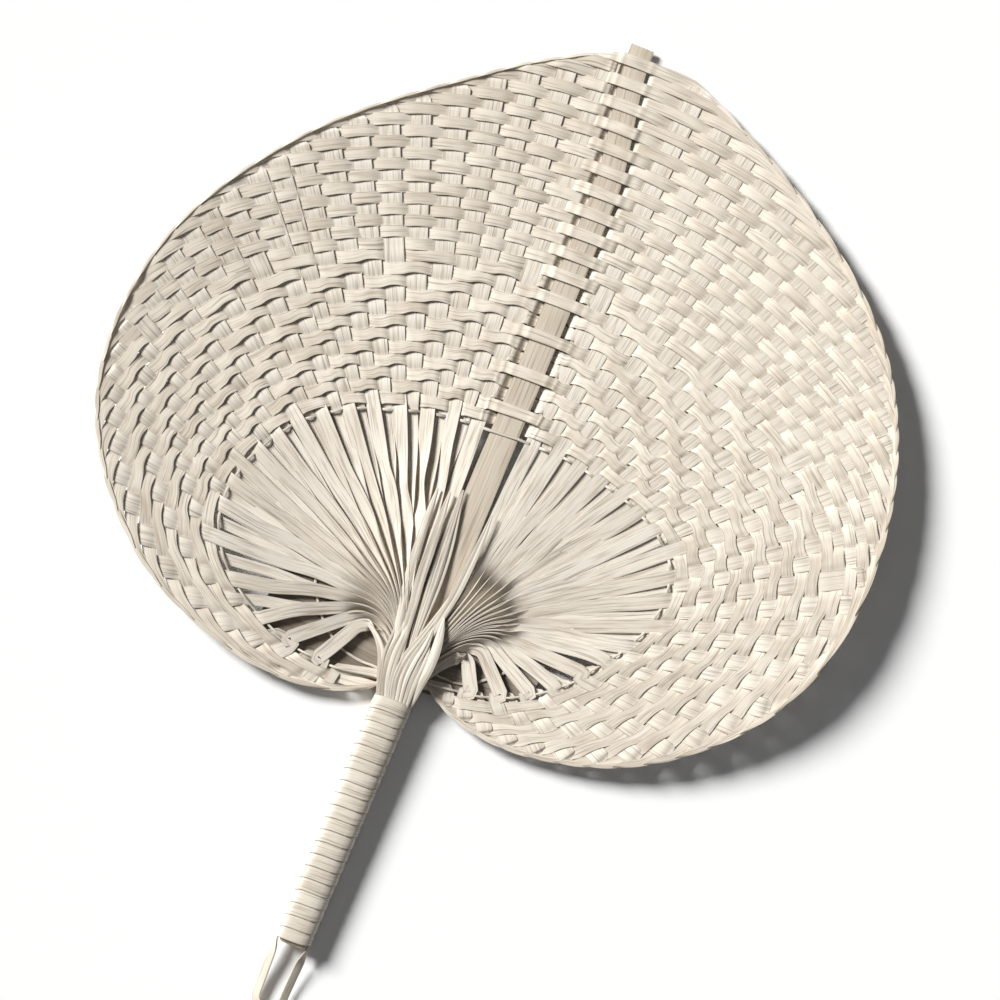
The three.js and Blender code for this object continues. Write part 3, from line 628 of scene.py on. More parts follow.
@dataclass
class Blade:
    """The blade's outline, its dished surface and the places of stakes and rows."""

    reach: float = 235.5
    hub_height: float = 39.5
    half_width: float = 158.0
    dish_rise: float = 12.0
    throat_mid: float = 4.55
    tip_mid: float = 1.87
    stakes_per_side: int = 36
    rim_inset: float = 0.8
    row_count: int = 33
    twill_rows: int = 12
    twill_share: float = 0.402
    row_gap: float = 0.65
    row_start: float = 2.4
    tip_margin: float = 3.05
    rib_root_width: float = 13.0
    rib_tip_width: float = 9.5
    rib_root_thickness: float = 2.0
    rib_tip_thickness: float = 1.3
    rib_tip_sway: float = 8.6
    rib_sway_length: float = 62.0
    outline_shares: tuple = (
        (-180, 0.12), (-160, 0.185), (-140, 0.266), (-120, 0.371), (-100, 0.518), (-80, 0.664),
        (-60, 0.755), (-40, 0.813), (-20, 0.882), (-10, 0.943), (0, 1), (10, 0.956), (20, 0.921),
        (40, 0.861), (60, 0.756), (80, 0.632), (100, 0.471), (120, 0.323), (140, 0.217),
        (160, 0.135), (180, 0.06),
    )
    lacing_shares: tuple = (
        (-180, 0.14), (-160, 0.155), (-140, 0.205), (-120, 0.272), (-90, 0.388), (-60, 0.386),
        (-30, 0.333), (0, 0.314), (30, 0.351), (60, 0.403), (90, 0.286), (120, 0.192), (140, 0.15),
        (160, 0.128), (180, 0.12),
    )
    inner_lacing_shares: tuple = (
        (-180, 0.12), (-163, 0.134), (-136, 0.17), (-117, 0.186), (-97, 0.203), (-60, 0.203),
        (-30, 0.2), (0, 0.198), (22, 0.204), (60, 0.204), (84, 0.198), (105, 0.17), (142, 0.131),
        (154, 0.116), (180, 0.1),
    )

    def __post_init__(self) -> None:
        """Makes the curves and the stakes' rays."""
        self.outline = table_curve(self.outline_shares, self.reach)
        self.lacing = table_curve(self.lacing_shares, self.reach)
        self.inner_lacing = table_curve(self.inner_lacing_shares, self.reach)
        span = self.reach - float(self.lacing(0.0)) - self.row_start - self.tip_margin + self.row_gap
        self.twill_pitch = span * self.twill_share / self.twill_rows
        self.plain_pitch = span * (1 - self.twill_share) / (self.row_count - self.twill_rows)
        self.hub = np.array([0.0, self.hub_height])
        self.end_y = self.hub_height + self.reach
        self.rays = Rays(self)

    def height(self, x: Array, y: Array) -> Array:
        """Returns the height of the stakes' middle plane."""
        along = np.clip(y / self.end_y, 0, 1)
        return lerp(self.throat_mid, self.tip_mid, along) + self.dish_rise * (x / self.half_width) ** 2

    def surface(self, places: Array) -> Array:
        """Returns the points of the stakes' middle plane over places in plan."""
        return np.concatenate([places, self.height(places[..., 0], places[..., 1])[..., None]], axis=-1)

    def normal(self, places: Array) -> Array:
        """Finds which way the middle plane faces.

        Args:
            places: Places in plan.

        Returns:
            Unit normals there.
        """
        slope_x = 2 * self.dish_rise * places[..., 0] / self.half_width**2
        slope_y = np.where(places[..., 1] > 0, (self.tip_mid - self.throat_mid) / self.end_y, 0.0)
        return unit(np.stack([-slope_x, -slope_y, np.ones_like(slope_x)], axis=-1))

    def polar(self, places: Array) -> tuple[Array, Array]:
        """Returns radius and degrees round the hub of places in plan."""
        offset = places - self.hub
        return np.linalg.norm(offset, axis=-1), np.degrees(np.arctan2(offset[..., 0], offset[..., 1]))

    def place(self, degrees: Array, radius: Array) -> Array:
        """Returns the places in plan at angles and radii round the hub."""
        angle = np.radians(degrees)
        return self.hub + np.stack([np.sin(angle) * radius, np.cos(angle) * radius], axis=-1)

    def row_width(self, row: int) -> float:
        """Returns a row's share of the blade without the gap to the next row."""
        return (self.twill_pitch if row < self.twill_rows else self.plain_pitch) - self.row_gap

    def row_radius(self, row: int) -> Curve:
        """Finds the middle line of a row.

        Args:
            row: Its number from the lacing outward.

        Returns:
            Its radius at each angle.
        """
        rise = self.row_start + min(row, self.twill_rows) * self.twill_pitch
        rise += max(row - self.twill_rows, 0) * self.plain_pitch + self.row_width(row) / 2
        return lambda degrees: self.lacing(degrees) + rise

    def lies_over(self, row: int, number: Array) -> Array:
        """Follows the weave: twill inside, plain outside.

        Args:
            row: The row's number.
            number: Numbers of stakes, 0 for the rib.

        Returns:
            Whether the row lies over each.
        """
        number = np.asarray(number)
        plain = (row + np.abs(number)) % 2 == 0
        twill = np.where(number == 0, row % 3 == 1, (row + np.abs(number)) % 3 != 0)
        return plain if row >= self.twill_rows else twill

    def rib_sway(self, y: Array) -> Array:
        """Returns the rib's sideways place."""
        return -self.rib_tip_sway * smooth((y - self.end_y + self.rib_sway_length) / self.rib_sway_length)

    def rib_width(self, y: Array) -> Array:
        """Returns the rib's width."""
        return lerp(self.rib_root_width, self.rib_tip_width, np.clip(y / self.end_y, 0, 1))

    def rib_thickness(self, y: Array) -> Array:
        """Returns the rib's thickness."""
        return lerp(self.rib_root_thickness, self.rib_tip_thickness, np.clip(y / self.end_y, 0, 1))


class Rays:
    """The straight outer runs of all stakes, left ones first, each side from the rib outward."""

    FIRST_ANGLE = 2.5
    UNEVENNESS = 0.4
    LAST_ANGLE = {Side.LEFT: 168.0, Side.RIGHT: 166.0}
    ANGLE_SHARES = {
        Side.LEFT: (
            (0, 0), (0.1, 0.076), (0.2, 0.158), (0.3, 0.228), (0.4, 0.302), (0.5, 0.368),
            (0.6, 0.425), (0.7, 0.492), (0.8, 0.604), (0.9, 0.778), (1, 1),
        ),
        Side.RIGHT: (
            (0, 0), (0.1, 0.076), (0.2, 0.148), (0.3, 0.212), (0.4, 0.278), (0.5, 0.346),
            (0.6, 0.42), (0.7, 0.51), (0.8, 0.638), (0.9, 0.808), (1, 1),
        ),
    }
    # How far out from the hub and how far below it each side's stakes bend
    SPREADS = {
        Side.LEFT: ((0, 8.4), (0.5, 15.6), (0.8, 20.5), (0.94, 22.0), (1, 21.0)),
        Side.RIGHT: ((0, 8.4), (0.5, 16.0), (0.75, 20.5), (0.88, 21.0), (0.95, 18.6), (1, 15.2)),
    }
    DROPS = {
        Side.LEFT: ((0, 0), (0.5, 2.6), (0.8, 7.4), (0.94, 12.0), (1, 15.5)),
        Side.RIGHT: ((0, 0), (0.5, 0.6), (0.75, 0.4), (0.88, 3.0), (0.95, 7.6), (1, 13.6)),
    }

    def __init__(self, blade: Blade) -> None:
        """Places the rays with a little unevenness.

        Args:
            blade: The blade they are in.
        """
        rng = np.random.default_rng(SEED)
        count = blade.stakes_per_side
        t = np.arange(count) / (count - 1)
        self.blade = blade
        self.side = np.repeat([-1, 1], count)
        self.index = np.tile(np.arange(count), 2)
        self.number = self.side * (self.index + 1)
        degrees, origins = [], []
        for side in Side:
            share = table_curve(self.ANGLE_SHARES[side], 1.0)(t)
            angle = lerp(self.FIRST_ANGLE, self.LAST_ANGLE[side], share)
            angle[1:-1] += rng.uniform(-self.UNEVENNESS, self.UNEVENNESS, count - 2)
            degrees.append(side.value * angle)
            x = side.value * table_curve(self.SPREADS[side], 1.0)(t)
            drop = table_curve(self.DROPS[side], 1.0)(t)
            origins.append(np.stack([x, blade.hub_height - drop], axis=-1))
        self.degrees = np.concatenate(degrees)
        self.origin = np.concatenate(origins)
        angle = np.radians(self.degrees)
        self.direction = np.stack([np.sin(angle), np.cos(angle)], axis=-1)

    def at(self, distance: Array, members: Array | slice = slice(None)) -> Array:
        """Returns the places in plan at distances along some rays."""
        return self.origin[members] + self.direction[members] * np.asarray(distance)[..., None]

    def spacing(self, member: int, places: Array) -> Array:
        """Finds how far a ray lies from its neighbours.

        Args:
            member: Its place among the rays.
            places: Places on it.

        Returns:
            The mean distance at each place.
        """
        gaps = []
        for other in (member - 1, member + 1):
            if 0 <= other < len(self.side) and self.side[other] == self.side[member]:
                offset, along = places - self.origin[other], self.direction[other]
                gaps.append(np.abs(offset[..., 0] * along[1] - offset[..., 1] * along[0]))
        return sum(gaps) / len(gaps)

    def to_line(self, radius_at: Curve) -> Array:
        """Finds where the rays meet a line round the hub.

        Args:
            radius_at: The line's radius at each angle.

        Returns:
            Each ray's length up to it.
        """
        near = np.zeros(len(self.side))
        far = np.full(len(self.side), 2 * self.blade.reach)
        for _ in range(SEARCH_STEPS):
            middle = (near + far) / 2
            radius, degrees = self.blade.polar(self.at(middle))
            short = radius < radius_at(degrees)
            near, far = np.where(short, middle, near), np.where(short, far, middle)
        return near


@dataclass
class Ribbons:
    """The fibrous ribbons over the bundle's front, each of several narrow strips."""

    strip_width: float = 1.5
    lap: float = 0.58
    thickness: float = 0.3
    crown: float = 0.12
    steps: int = 30
    leans: tuple[float, float] = (-10.0, 20.0)
    droop: float = 0.12
    scatter: float = 0.15
    # Each ribbon as places x, y, z and width from the wrap outward
    courses: dict = field(
        default_factory=lambda: {
            Side.LEFT: (
                (
                    (-3.2, 12.6, 10.2, 2.0), (-5.6, 23.1, 9.8, 2.8), (-7.0, 35.3, 9.0, 3.2),
                    (-8.7, 47.4, 8.4, 3.6), (-9.6, 59.9, 8.0, 3.6), (-10.5, 73.3, 7.4, 2.8),
                    (-11.2, 84.2, 6.8, 0.8),
                ),
                (
                    (-1.0, 15.0, 9.0, 1.8), (-1.6, 26.0, 9.0, 2.8), (-2.2, 38.0, 8.2, 4.4),
                    (-3.0, 51.0, 7.2, 5.6), (-4.2, 64.0, 6.6, 5.4), (-5.4, 76.0, 6.3, 3.4),
                    (-6.6, 87.0, 6.1, 0.8),
                ),
                (
                    (-7.1, 15.9, 10.0, 2.0), (-9.1, 25.8, 9.4, 2.8), (-11.5, 37.7, 8.6, 3.2),
                    (-13.5, 49.7, 8.0, 3.6), (-14.8, 62.1, 7.6, 3.2), (-15.7, 74.5, 7.2, 2.4),
                    (-16.2, 83.8, 6.8, 0.8),
                ),
                (
                    (-5.6, -3.6, 6.6, 1.8), (-6.1, -1.3, 7.2, 2.0), (-9.1, 7.8, 8.6, 2.4),
                    (-11.9, 15.2, 8.8, 2.6), (-15.7, 20.1, 7.8, 2.0), (-20.6, 23.6, 6.6, 1.2),
                ),
                (
                    (-4.5, -3.6, 8.4, 2.4), (-5.1, -1.3, 9.0, 2.8), (-8.0, 8.3, 10.0, 3.0),
                    (-9.4, 16.3, 10.2, 3.2), (-9.5, 24.3, 9.4, 2.8), (-10.6, 31.6, 8.0, 2.4),
                    (-13.4, 38.6, 6.8, 1.2),
                ),
                (
                    (-2.5, -3.2, 9.0, 3.2), (-3.1, -0.9, 9.5, 3.6), (-5.7, 7.9, 10.7, 4.4),
                    (-6.8, 17.3, 10.8, 4.8), (-6.4, 25.6, 9.8, 4.0), (-6.9, 31.9, 8.6, 3.2),
                    (-9.3, 38.2, 7.2, 1.6),
                ),
            ),
            Side.RIGHT: (
                (
                    (5.2, -3.2, 8.8, 2.0), (5.1, 1.3, 9.6, 2.4), (4.6, 8.4, 10.6, 3.0),
                    (5.0, 16.3, 11.0, 3.0), (4.9, 22.2, 10.8, 2.0), (4.6, 26.0, 10.2, 0.6),
                ),
                (
                    (3.1, -3.2, 9.0, 2.8), (2.6, 0.9, 9.8, 3.2), (1.5, 8.8, 11.0, 4.0),
                    (1.8, 16.7, 11.6, 4.2), (2.8, 23.1, 11.4, 3.6), (3.3, 28.4, 10.6, 2.4),
                    (3.5, 32.8, 9.6, 0.8),
                ),
                (
                    (0.4, -3.2, 9.0, 2.8), (-0.3, 0.3, 9.6, 3.2), (-1.9, 8.6, 10.6, 3.6),
                    (-1.5, 17.8, 11.0, 3.8), (0.8, 25.7, 10.8, 3.6), (3.0, 33.9, 9.8, 3.2),
                    (5.3, 44.7, 8.2, 2.0), (6.8, 51.4, 7.2, 0.8),
                ),
                (
                    (3.2, 23.2, 10.2, 1.6), (4.7, 35.9, 9.6, 2.8), (6.6, 47.8, 8.8, 3.2),
                    (7.4, 60.2, 8.2, 3.2), (7.8, 71.5, 7.6, 2.4), (7.7, 82.2, 7.0, 0.8),
                ),
                (
                    (6.0, -3.2, 7.4, 2.0), (6.9, 1.7, 8.8, 2.4), (7.4, 9.1, 10.4, 3.2),
                    (8.2, 16.8, 11.2, 3.4), (7.9, 24.3, 11.4, 3.6), (6.9, 31.7, 10.6, 2.6),
                    (6.0, 37.7, 9.6, 0.3),
                ),
            ),
        }
    )

    def strips(self, side: Side, rng: np.random.Generator) -> Iterable[StripPath]:
        """Splits every ribbon of a side into strips.

        Args:
            side: Side of the rib.
            rng: Source of small unevenness.

        Yields:
            Narrow strips side by side.
        """
        for course in self.courses[side]:
            knots = np.linspace(0, 1, len(course))
            t = np.linspace(0, 1, self.steps)
            x, y, z, wide = (table_curve(zip(knots, column), 1.0)(t) for column in zip(*course))
            centre = np.stack([x, y, z], axis=-1)
            heading = unit(np.gradient(centre, axis=0))
            flat = unit(np.cross(heading, UP))
            up = np.cross(flat, heading)
            count = max(1, round(float(wide.max()) / self.strip_width))
            for k in range(count):
                lean = math.radians(rng.uniform(*self.leans))
                across = flat * math.cos(lean) - up * math.sin(lean)
                lift = up * math.cos(lean) + flat * math.sin(lean)
                place = ((k + 0.5) / count - 0.5) * wide
                middle = centre + flat * place[:, None]
                middle[:, 2] -= self.droop * place**2 - rng.uniform(-self.scatter, self.scatter)
                half = across * (wide / count * self.lap)[:, None]
                tint = rng.uniform(0, 1)
                yield StripPath(middle - half, middle + half, lift, self.thickness, self.crown, tint)


@dataclass
class PaintedShadeLining:
    """The dark strips that close the throat below the lowest stakes; their darkness is painted shade where
    the throat shows only shade.
    """

    blade: Blade
    count: int = 8
    # On each side the reach out from the rib, and the first strip's place and the step to the next
    reach: dict = field(default_factory=lambda: {Side.LEFT: (5.0, 62.0), Side.RIGHT: (5.0, 50.0)})
    rise: dict = field(default_factory=lambda: {Side.LEFT: (2.0, 4.0), Side.RIGHT: (8.6, 3.4)})
    width: float = 4.4
    depth: float = 2.4
    climb: float = 3.0
    stagger: float = 0.35
    scatter: float = 0.5
    thickness: float = 0.3
    # Tints over 1 make these strips painted shade, darkened toward the dark bamboo colour
    tints: tuple[float, float] = (1.55, 1.85)
    steps: int = 12

    def strips(self, side: Side, rng: np.random.Generator) -> Iterable[StripPath]:
        """Lays the strips of a side.

        Args:
            side: Side of the rib.
            rng: Source of small unevenness.

        Yields:
            Strips from the bundle outward.
        """
        t = np.linspace(0, 1, self.steps)
        start, step = self.rise[side]
        x = side.value * lerp(*self.reach[side], t)
        half = np.array([0.0, self.width / 2, 0.0])
        lift = np.tile(UP, (self.steps, 1))
        for k in range(self.count):
            y = start + step * k + self.climb * t + rng.uniform(-self.scatter, self.scatter)
            z = self.blade.height(x, y) - self.depth + self.stagger * (k % 2)
            middle = np.stack([x, y, z], axis=-1)
            tint = rng.uniform(*self.tints)
            yield StripPath(middle - half, middle + half, lift, self.thickness, 0.0, tint)


@dataclass
class Stakes:
    """The strips that leave the handle in a bundle, spread in the throat and run out to the rim."""

    blade: Blade
    width: float = 5.2
    over_share: float = 1.1
    under_share: float = 0.84
    fill_share: float = 0.9
    least_width: float = 5.1
    most_width: float = 8.0
    root_width: float = 4.4
    root_depth: float = 9.0
    groups: int = 9
    per_group: int = 4
    thickness: float = 0.3
    crown: float = 0.02
    flat_margin: float = 1.2
    side_inset: float = 1.4
    side_turn: tuple[float, float] = (40.0, 30.0)
    shown_limits: tuple[float, float] = (0.05, 0.99)
    wave_steps: int = 5
    wave: float = 0.16
    twill_wave: float = 2.2
    lacing_wave: float = 0.6
    ring_run: float = 34.0
    end_offset: float = -0.35
    unruly: float = 0.3
    root_scatter: float = 0.3
    twist_scatter: float = 4.0
    shown_scatter: tuple[float, float] = (0.85, 1.12)
    width_scatter: tuple[float, float] = (0.95, 1.05)
    least_apart: float = 0.05
    most_lean: float = 0.42
    ring_start: float = 0.3
    grow_length: float = 14.0
    flatten_length: float = 16.0
    end_cut: float = 0.3
    end_cut_length: float = 2.0
    settle_share: float = 0.95
    ply_share: float = 1.2
    swell_gain: float = 1.7
    near_bend: float = 16.0
    far_bend: float = 7.7
    bend_steps: int = 26
    run_steps: int = 24
    open_share: float = 0.8
    unfold_length: float = 26.0
    sway: float = 0.5
    root_pulls: dict = field(default_factory=lambda: {-1: (0.4, 0.91), 1: (0.31, 0.65)})
    ray_pulls: dict = field(default_factory=lambda: {-1: (0.26, 0.35), 1: (0.32, 0.22)})
    # Places among a side's stakes, and at each the root's place, height and tilt in the wrap
    marks: tuple = (0.0, 0.2, 0.4, 0.6, 0.8, 1.0)
    root_places: dict = field(
        default_factory=lambda: {-1: (-1.4, -4.6, -6.2, -5.0, -3.6, -6.6), 1: (-1.8, 3.8, 6.0, 4.6, 3.0, 6.4)}
    )
    root_heights: tuple = (7.4, 7.6, 7.0, 6.2, 5.8, 5.4)
    root_tilts: tuple = (52.0, 64.0, 74.0, 80.0, 84.0, 86.0)
    # Where the strips start to turn flat and lie flat, beyond the end of the bend
    twist_starts: dict = field(
        default_factory=lambda: {-1: (30.0, 26.0, 9.0, 2.0, -2.0, -6.0), 1: (4.0, 2.0, 0.0, -1.0, -3.0, -6.0)}
    )
    twist_ends: dict = field(
        default_factory=lambda: {-1: (58.0, 50.0, 28.0, 16.0, 9.0, 2.0), 1: (22.0, 18.0, 12.0, 8.0, 5.0, 2.0)}
    )
    # How wide two strips that run as one look, over their neighbours' distance
    pair_shares: dict = field(
        default_factory=lambda: {-1: (1.9, 1.85, 1.8, 1.75, 1.7, 1.6), 1: (2.4, 2.3, 2.15, 2.0, 1.9, 1.8)}
    )
    # How much each side's strips lean on their neighbours where they lie flat
    shingle_shares: tuple[float, float] = (2.2, 0.7)
    pair_starts: tuple[float, float] = (8.0, 34.0)
    pair_lengths: tuple[float, float] = (16.0, 34.0)
    def __post_init__(self) -> None:
        """Finds where the stakes turn flat, cross the rows and end."""
        blade, rays = self.blade, self.blade.rays
        self.share = rays.index / (blade.stakes_per_side - 1)
        self.flat = rays.to_line(lambda degrees: blade.lacing(degrees) - self.flat_margin)
        self.end = rays.to_line(lambda degrees: blade.outline(degrees) - self.inset(degrees))
        self.crossings = np.stack([rays.to_line(blade.row_radius(row)) for row in range(blade.row_count)])

    def inset(self, degrees: Array) -> Array:
        """Returns how far inside the rim the stakes end, more at the blade's sides."""
        start, length = self.side_turn
        return self.blade.rim_inset + self.side_inset * smooth((np.abs(degrees) - start) / length)

    def by_side(self, tables: dict) -> Array:
        """Returns each stake's value from its side's table."""
        left, right = (np.interp(self.share, self.marks, tables[side]) for side in (-1, 1))
        return np.where(self.blade.rays.side < 0, left, right)

    def throat_plan(self) -> tuple[Array, Array]:
        """Runs every stake from the wrap to where it turns flat.

        Returns:
            Places and directions in plan, one row of them for each stake.
        """
        rays = self.blade.rays
        rng = np.random.default_rng([SEED, Draw.THROAT])
        t = np.linspace(0, 1, self.bend_steps)[None, :, None]
        reach = np.minimum(lerp(self.near_bend, self.far_bend, self.share), self.flat / 2)
        scatter = rng.uniform(-self.root_scatter, self.root_scatter, len(rays.side))
        root_x = self.by_side(self.root_places) + scatter
        root = np.stack([root_x, np.zeros(len(rays.side))], axis=-1)
        end = rays.at(reach)
        pull = np.linalg.norm(end - root, axis=-1)
        turn = np.abs(rays.degrees) / 180
        pulls = []
        for table in (self.root_pulls, self.ray_pulls):
            low = np.array([table[s][0] for s in rays.side])
            high = np.array([table[s][1] for s in rays.side])
            pulls.append(pull * lerp(low, high, turn))
        second = root + np.stack([np.zeros_like(pull), pulls[0]], axis=-1)
        third = end - rays.direction * pulls[1][:, None]
        a, b, c, d = (p[:, None, :] for p in (root, second, third, end))
        bend = (1 - t) ** 3 * a + 3 * (1 - t) ** 2 * t * b + 3 * (1 - t) * t**2 * c + t**3 * d
        run = np.linspace(0, 1, self.run_steps + 1)[1:]
        straight = rays.origin[:, None] + rays.direction[:, None] * lerp(
            reach[:, None], self.flat[:, None], run[None, :]
        )[..., None]
        across = np.stack([rays.direction[:, 1], -rays.direction[:, 0]], axis=-1)
        sway = rng.uniform(-self.sway, self.sway, len(rays.side))[:, None] * np.sin(np.pi * run)[None, :]
        straight = straight + across[:, None] * sway[..., None]
        inside = root[:, None] - np.array([[[0.0, self.root_depth], [0.0, self.root_depth / 2]]])
        places = np.concatenate([inside, bend, straight], axis=1)
        self.joined = self.pair_up(places, rng)
        return places, unit(np.gradient(places, axis=1))

    def travelled(self, places: Array) -> Array:
        """Returns how far each place lies along its stake."""
        steps = np.linalg.norm(np.diff(places, axis=1), axis=-1)
        return np.concatenate([np.zeros((len(places), 1)), np.cumsum(steps, axis=1)], axis=1)

    def pair_up(self, places: Array, rng: np.random.Generator) -> Array:
        """Lets two neighbours run as one until somewhere in the throat.

        Args:
            places: Places of all stakes in plan, changed here.
            rng: Source of the places where they part.

        Returns:
            How closely each stake runs with its neighbour, from 0 to 1.
        """
        rays = self.blade.rays
        along = self.travelled(places)
        beyond = along - along[:, self.bend_steps + 1][:, None]
        pair = (self.blade.stakes_per_side - rays.index) // 2 * rays.side
        joined = np.zeros(beyond.shape)
        for key in np.unique(pair):
            members = np.flatnonzero(pair == key)
            start = rng.uniform(*self.pair_starts)
            end = start + rng.uniform(*self.pair_lengths)
            middle = places[members].mean(axis=0)
            for member in members if len(members) > 1 else ():
                joined[member] = 1 - smooth((beyond[member] - start) / (end - start))
                places[member] = lerp(places[member], middle, joined[member][:, None])
        return joined

    def spacing(self, places: Array, heading: Array) -> Array:
        """Finds how far apart neighbours of a side lie.

        Args:
            places: Places along all stakes.
            heading: Directions there.

        Returns:
            The distance at each place.
        """
        apart = np.empty(heading.shape[:2])
        for side in Side:
            of_side = self.blade.rays.side == side.value
            across = np.stack([heading[of_side][..., 1], -heading[of_side][..., 0]], axis=-1)
            apart[of_side] = np.abs((np.gradient(places[of_side], axis=0) * across).sum(-1))
        return apart

    def throat_tilt(self, places: Array, heading: Array, width: Array) -> tuple[Array, Array]:
        """Finds how far each stake leans: flat in the upper bundle, then on edge, then flat again.

        Args:
            places: Places in plan.
            heading: Directions in plan.
            width: Widths of the stakes there.

        Returns:
            Tilt in radians, a quarter turn where a stake stands on edge, and the lengths travelled.
        """
        rng = np.random.default_rng([SEED, Draw.TWIST])
        travelled = self.travelled(places)
        beyond = travelled - travelled[:, self.bend_steps + 1][:, None]
        shift = rng.uniform(-self.twist_scatter, self.twist_scatter, len(places))
        start = (self.by_side(self.twist_starts) + shift)[:, None]
        end = (self.by_side(self.twist_ends) + shift)[:, None]
        apart = np.maximum(self.spacing(places, heading), self.least_apart)
        shown = lerp(self.open_share, self.by_side(self.pair_shares)[:, None], self.joined)
        shown = shown * rng.uniform(*self.shown_scatter, (len(places), 1))
        slat = np.arccos(np.clip(shown * apart / width, *self.shown_limits))
        side_shares = np.where(self.blade.rays.side < 0, *self.shingle_shares)[:, None]
        flat = np.arcsin(np.clip(side_shares * self.thickness / apart, 0.0, self.most_lean))
        tilt = lerp(slat, flat, smooth((beyond - start) / (end - start)))
        root = np.radians(np.interp(self.share, self.marks, self.root_tilts))[:, None]
        return lerp(root, tilt, smooth((travelled - self.root_depth) / self.unfold_length)), travelled

    def wave_offsets(self, member: int) -> tuple[Array, Array]:
        """Finds a stake's rises and dips where rows and the lacing sliver cross it.

        Args:
            member: Its place among the rays.

        Returns:
            Distances along the ray and offsets from the middle plane.
        """
        blade, number = self.blade, self.blade.rays.number[member]
        marks, offsets = [self.flat[member]], [self.lacing_wave if number % 2 else -self.lacing_wave]
        for row in range(blade.row_count):
            if self.crossings[row, member] >= self.end[member] - 1.0:
                break
            over = bool(blade.lies_over(row, number))
            lift = self.wave if row >= blade.twill_rows else self.twill_wave * self.wave
            marks.append(self.crossings[row, member])
            offsets.append(-self.wave if over else lift)
        return np.array([*marks, self.end[member]]), np.array([*offsets, self.end_offset])

    def strip(self, member: int, throat: tuple[Array, ...], rng: np.random.Generator) -> StripPath:
        """Builds one stake.

        Args:
            member: Its place among the rays.
            throat: Places, tilts, widths and lengths of all stakes up to where they turn flat.
            rng: Source of small unevenness.

        Returns:
            The stake's path.
        """
        blade, rays = self.blade, self.blade.rays
        number = rays.number[member]
        places, tilt, width, travelled = (values[member] for values in throat)
        inside = len(places)
        marks, offsets = self.wave_offsets(member)
        fine = np.concatenate([np.linspace(a, b, self.wave_steps)[1:] for a, b in zip(marks, marks[1:])])
        slot = np.clip(np.searchsorted(marks, fine) - 1, 0, len(marks) - 2)
        share = smooth(smooth((fine - marks[slot]) / (marks[slot + 1] - marks[slot])))
        wave = lerp(offsets[slot], offsets[slot + 1], share)
        outer = rays.at(fine, member)
        run = fine - fine[0]
        all_places = np.concatenate([places, outer])
        heading = unit(np.gradient(all_places, axis=0))
        own = rng.uniform(*self.width_scatter)
        ring_width = self.width * own * (self.over_share if number % 2 else self.under_share)
        opened = smooth((travelled / travelled[-1] - self.ring_start) / (1 - self.ring_start))
        filled = self.fill_share * rays.spacing(member, outer)
        grown = np.clip(filled, self.least_width, self.most_width) * own
        full = lerp(ring_width, grown, smooth(run / self.grow_length))
        # The end is cut round, inside the rim
        last = smooth((fine - fine[-1] + self.end_cut_length) / self.end_cut_length)
        full = full * (1 - self.end_cut * last)
        all_width = np.concatenate([lerp(width, ring_width, opened), full])
        lean = np.concatenate([tilt, tilt[-1] * (1 - smooth(run / self.flatten_length))])
        centre = blade.surface(all_places)
        part = smooth((travelled - travelled[-1] + self.ring_run) / self.ring_run)
        centre[:, 2] += np.concatenate([offsets[0] * part, wave])
        beyond_root = travelled - self.root_depth
        settled = smooth(beyond_root / (self.settle_share * (travelled[-1] - self.root_depth)))
        root_height = np.interp(self.share[member], self.marks, self.root_heights)
        centre[:inside, 2] = lerp(root_height, centre[:inside, 2], settled)
        normal = blade.normal(all_places)
        across = np.stack([heading[:, 1], -heading[:, 0], np.zeros(len(heading))], axis=-1)
        across = across * rays.side[member]
        angle = lean[:, None]
        edge = unit(across * np.cos(angle) - normal * np.sin(angle))
        lift = unit(normal * np.cos(angle) + across * np.sin(angle))
        half = edge * all_width[:, None] / 2
        # The second strip of a pair lies on the first
        ply = self.joined[member] * (number % 2 - 0.5) * self.ply_share * self.thickness
        swell = travelled / travelled[-1] * self.swell_gain - (self.swell_gain - 1)
        ply += rng.uniform(-self.unruly, self.unruly) * np.sin(np.pi * np.clip(swell, 0, 1))
        centre[:inside] += lift[:inside] * ply[:, None]
        return StripPath(centre - half, centre + half, lift, self.thickness, self.crown, rng.uniform(0, 1))





    def build(self, shop: Workshop) -> None:
        """Builds every group of four stakes, with the ribbons in the first and the painted-shade lining in
        the last.

        Args:
            shop: Maker of the finishes.
        """
        places, heading = self.throat_plan()
        width = np.full(places.shape[:2], self.root_width)
        tilt, travelled = self.throat_tilt(places, heading, width)
        throat = (places, tilt, width, travelled)
        extras = {0: Ribbons().strips, self.groups - 1: PaintedShadeLining(self.blade).strips}
        for side in Side:
            first = 0 if side is Side.LEFT else self.blade.stakes_per_side
            for group in range(self.groups):
                rng = np.random.default_rng([SEED, side.value + 1, group])
                mesh = StripMesh(rng)
                for k in range(self.per_group):
                    mesh.add(self.strip(first + group * self.per_group + k, throat, rng))
                for path in extras[group](side, rng) if group in extras else ():
                    mesh.add(path)
                label = f"{side.name.lower()}_{group + 1:02d}"
                piece = mesh.piece(f"split_stakes_{label}", shop.finish(STAKE_FINISH))
                fit_out(piece, "stakes", f"stakes_{label}")


@dataclass
class Crossing:
    """A stake or the rib where a strip round the hub meets it."""

    number: int
    degrees: float
    over: bool
    lift: float
    half_degrees: float = 0.0


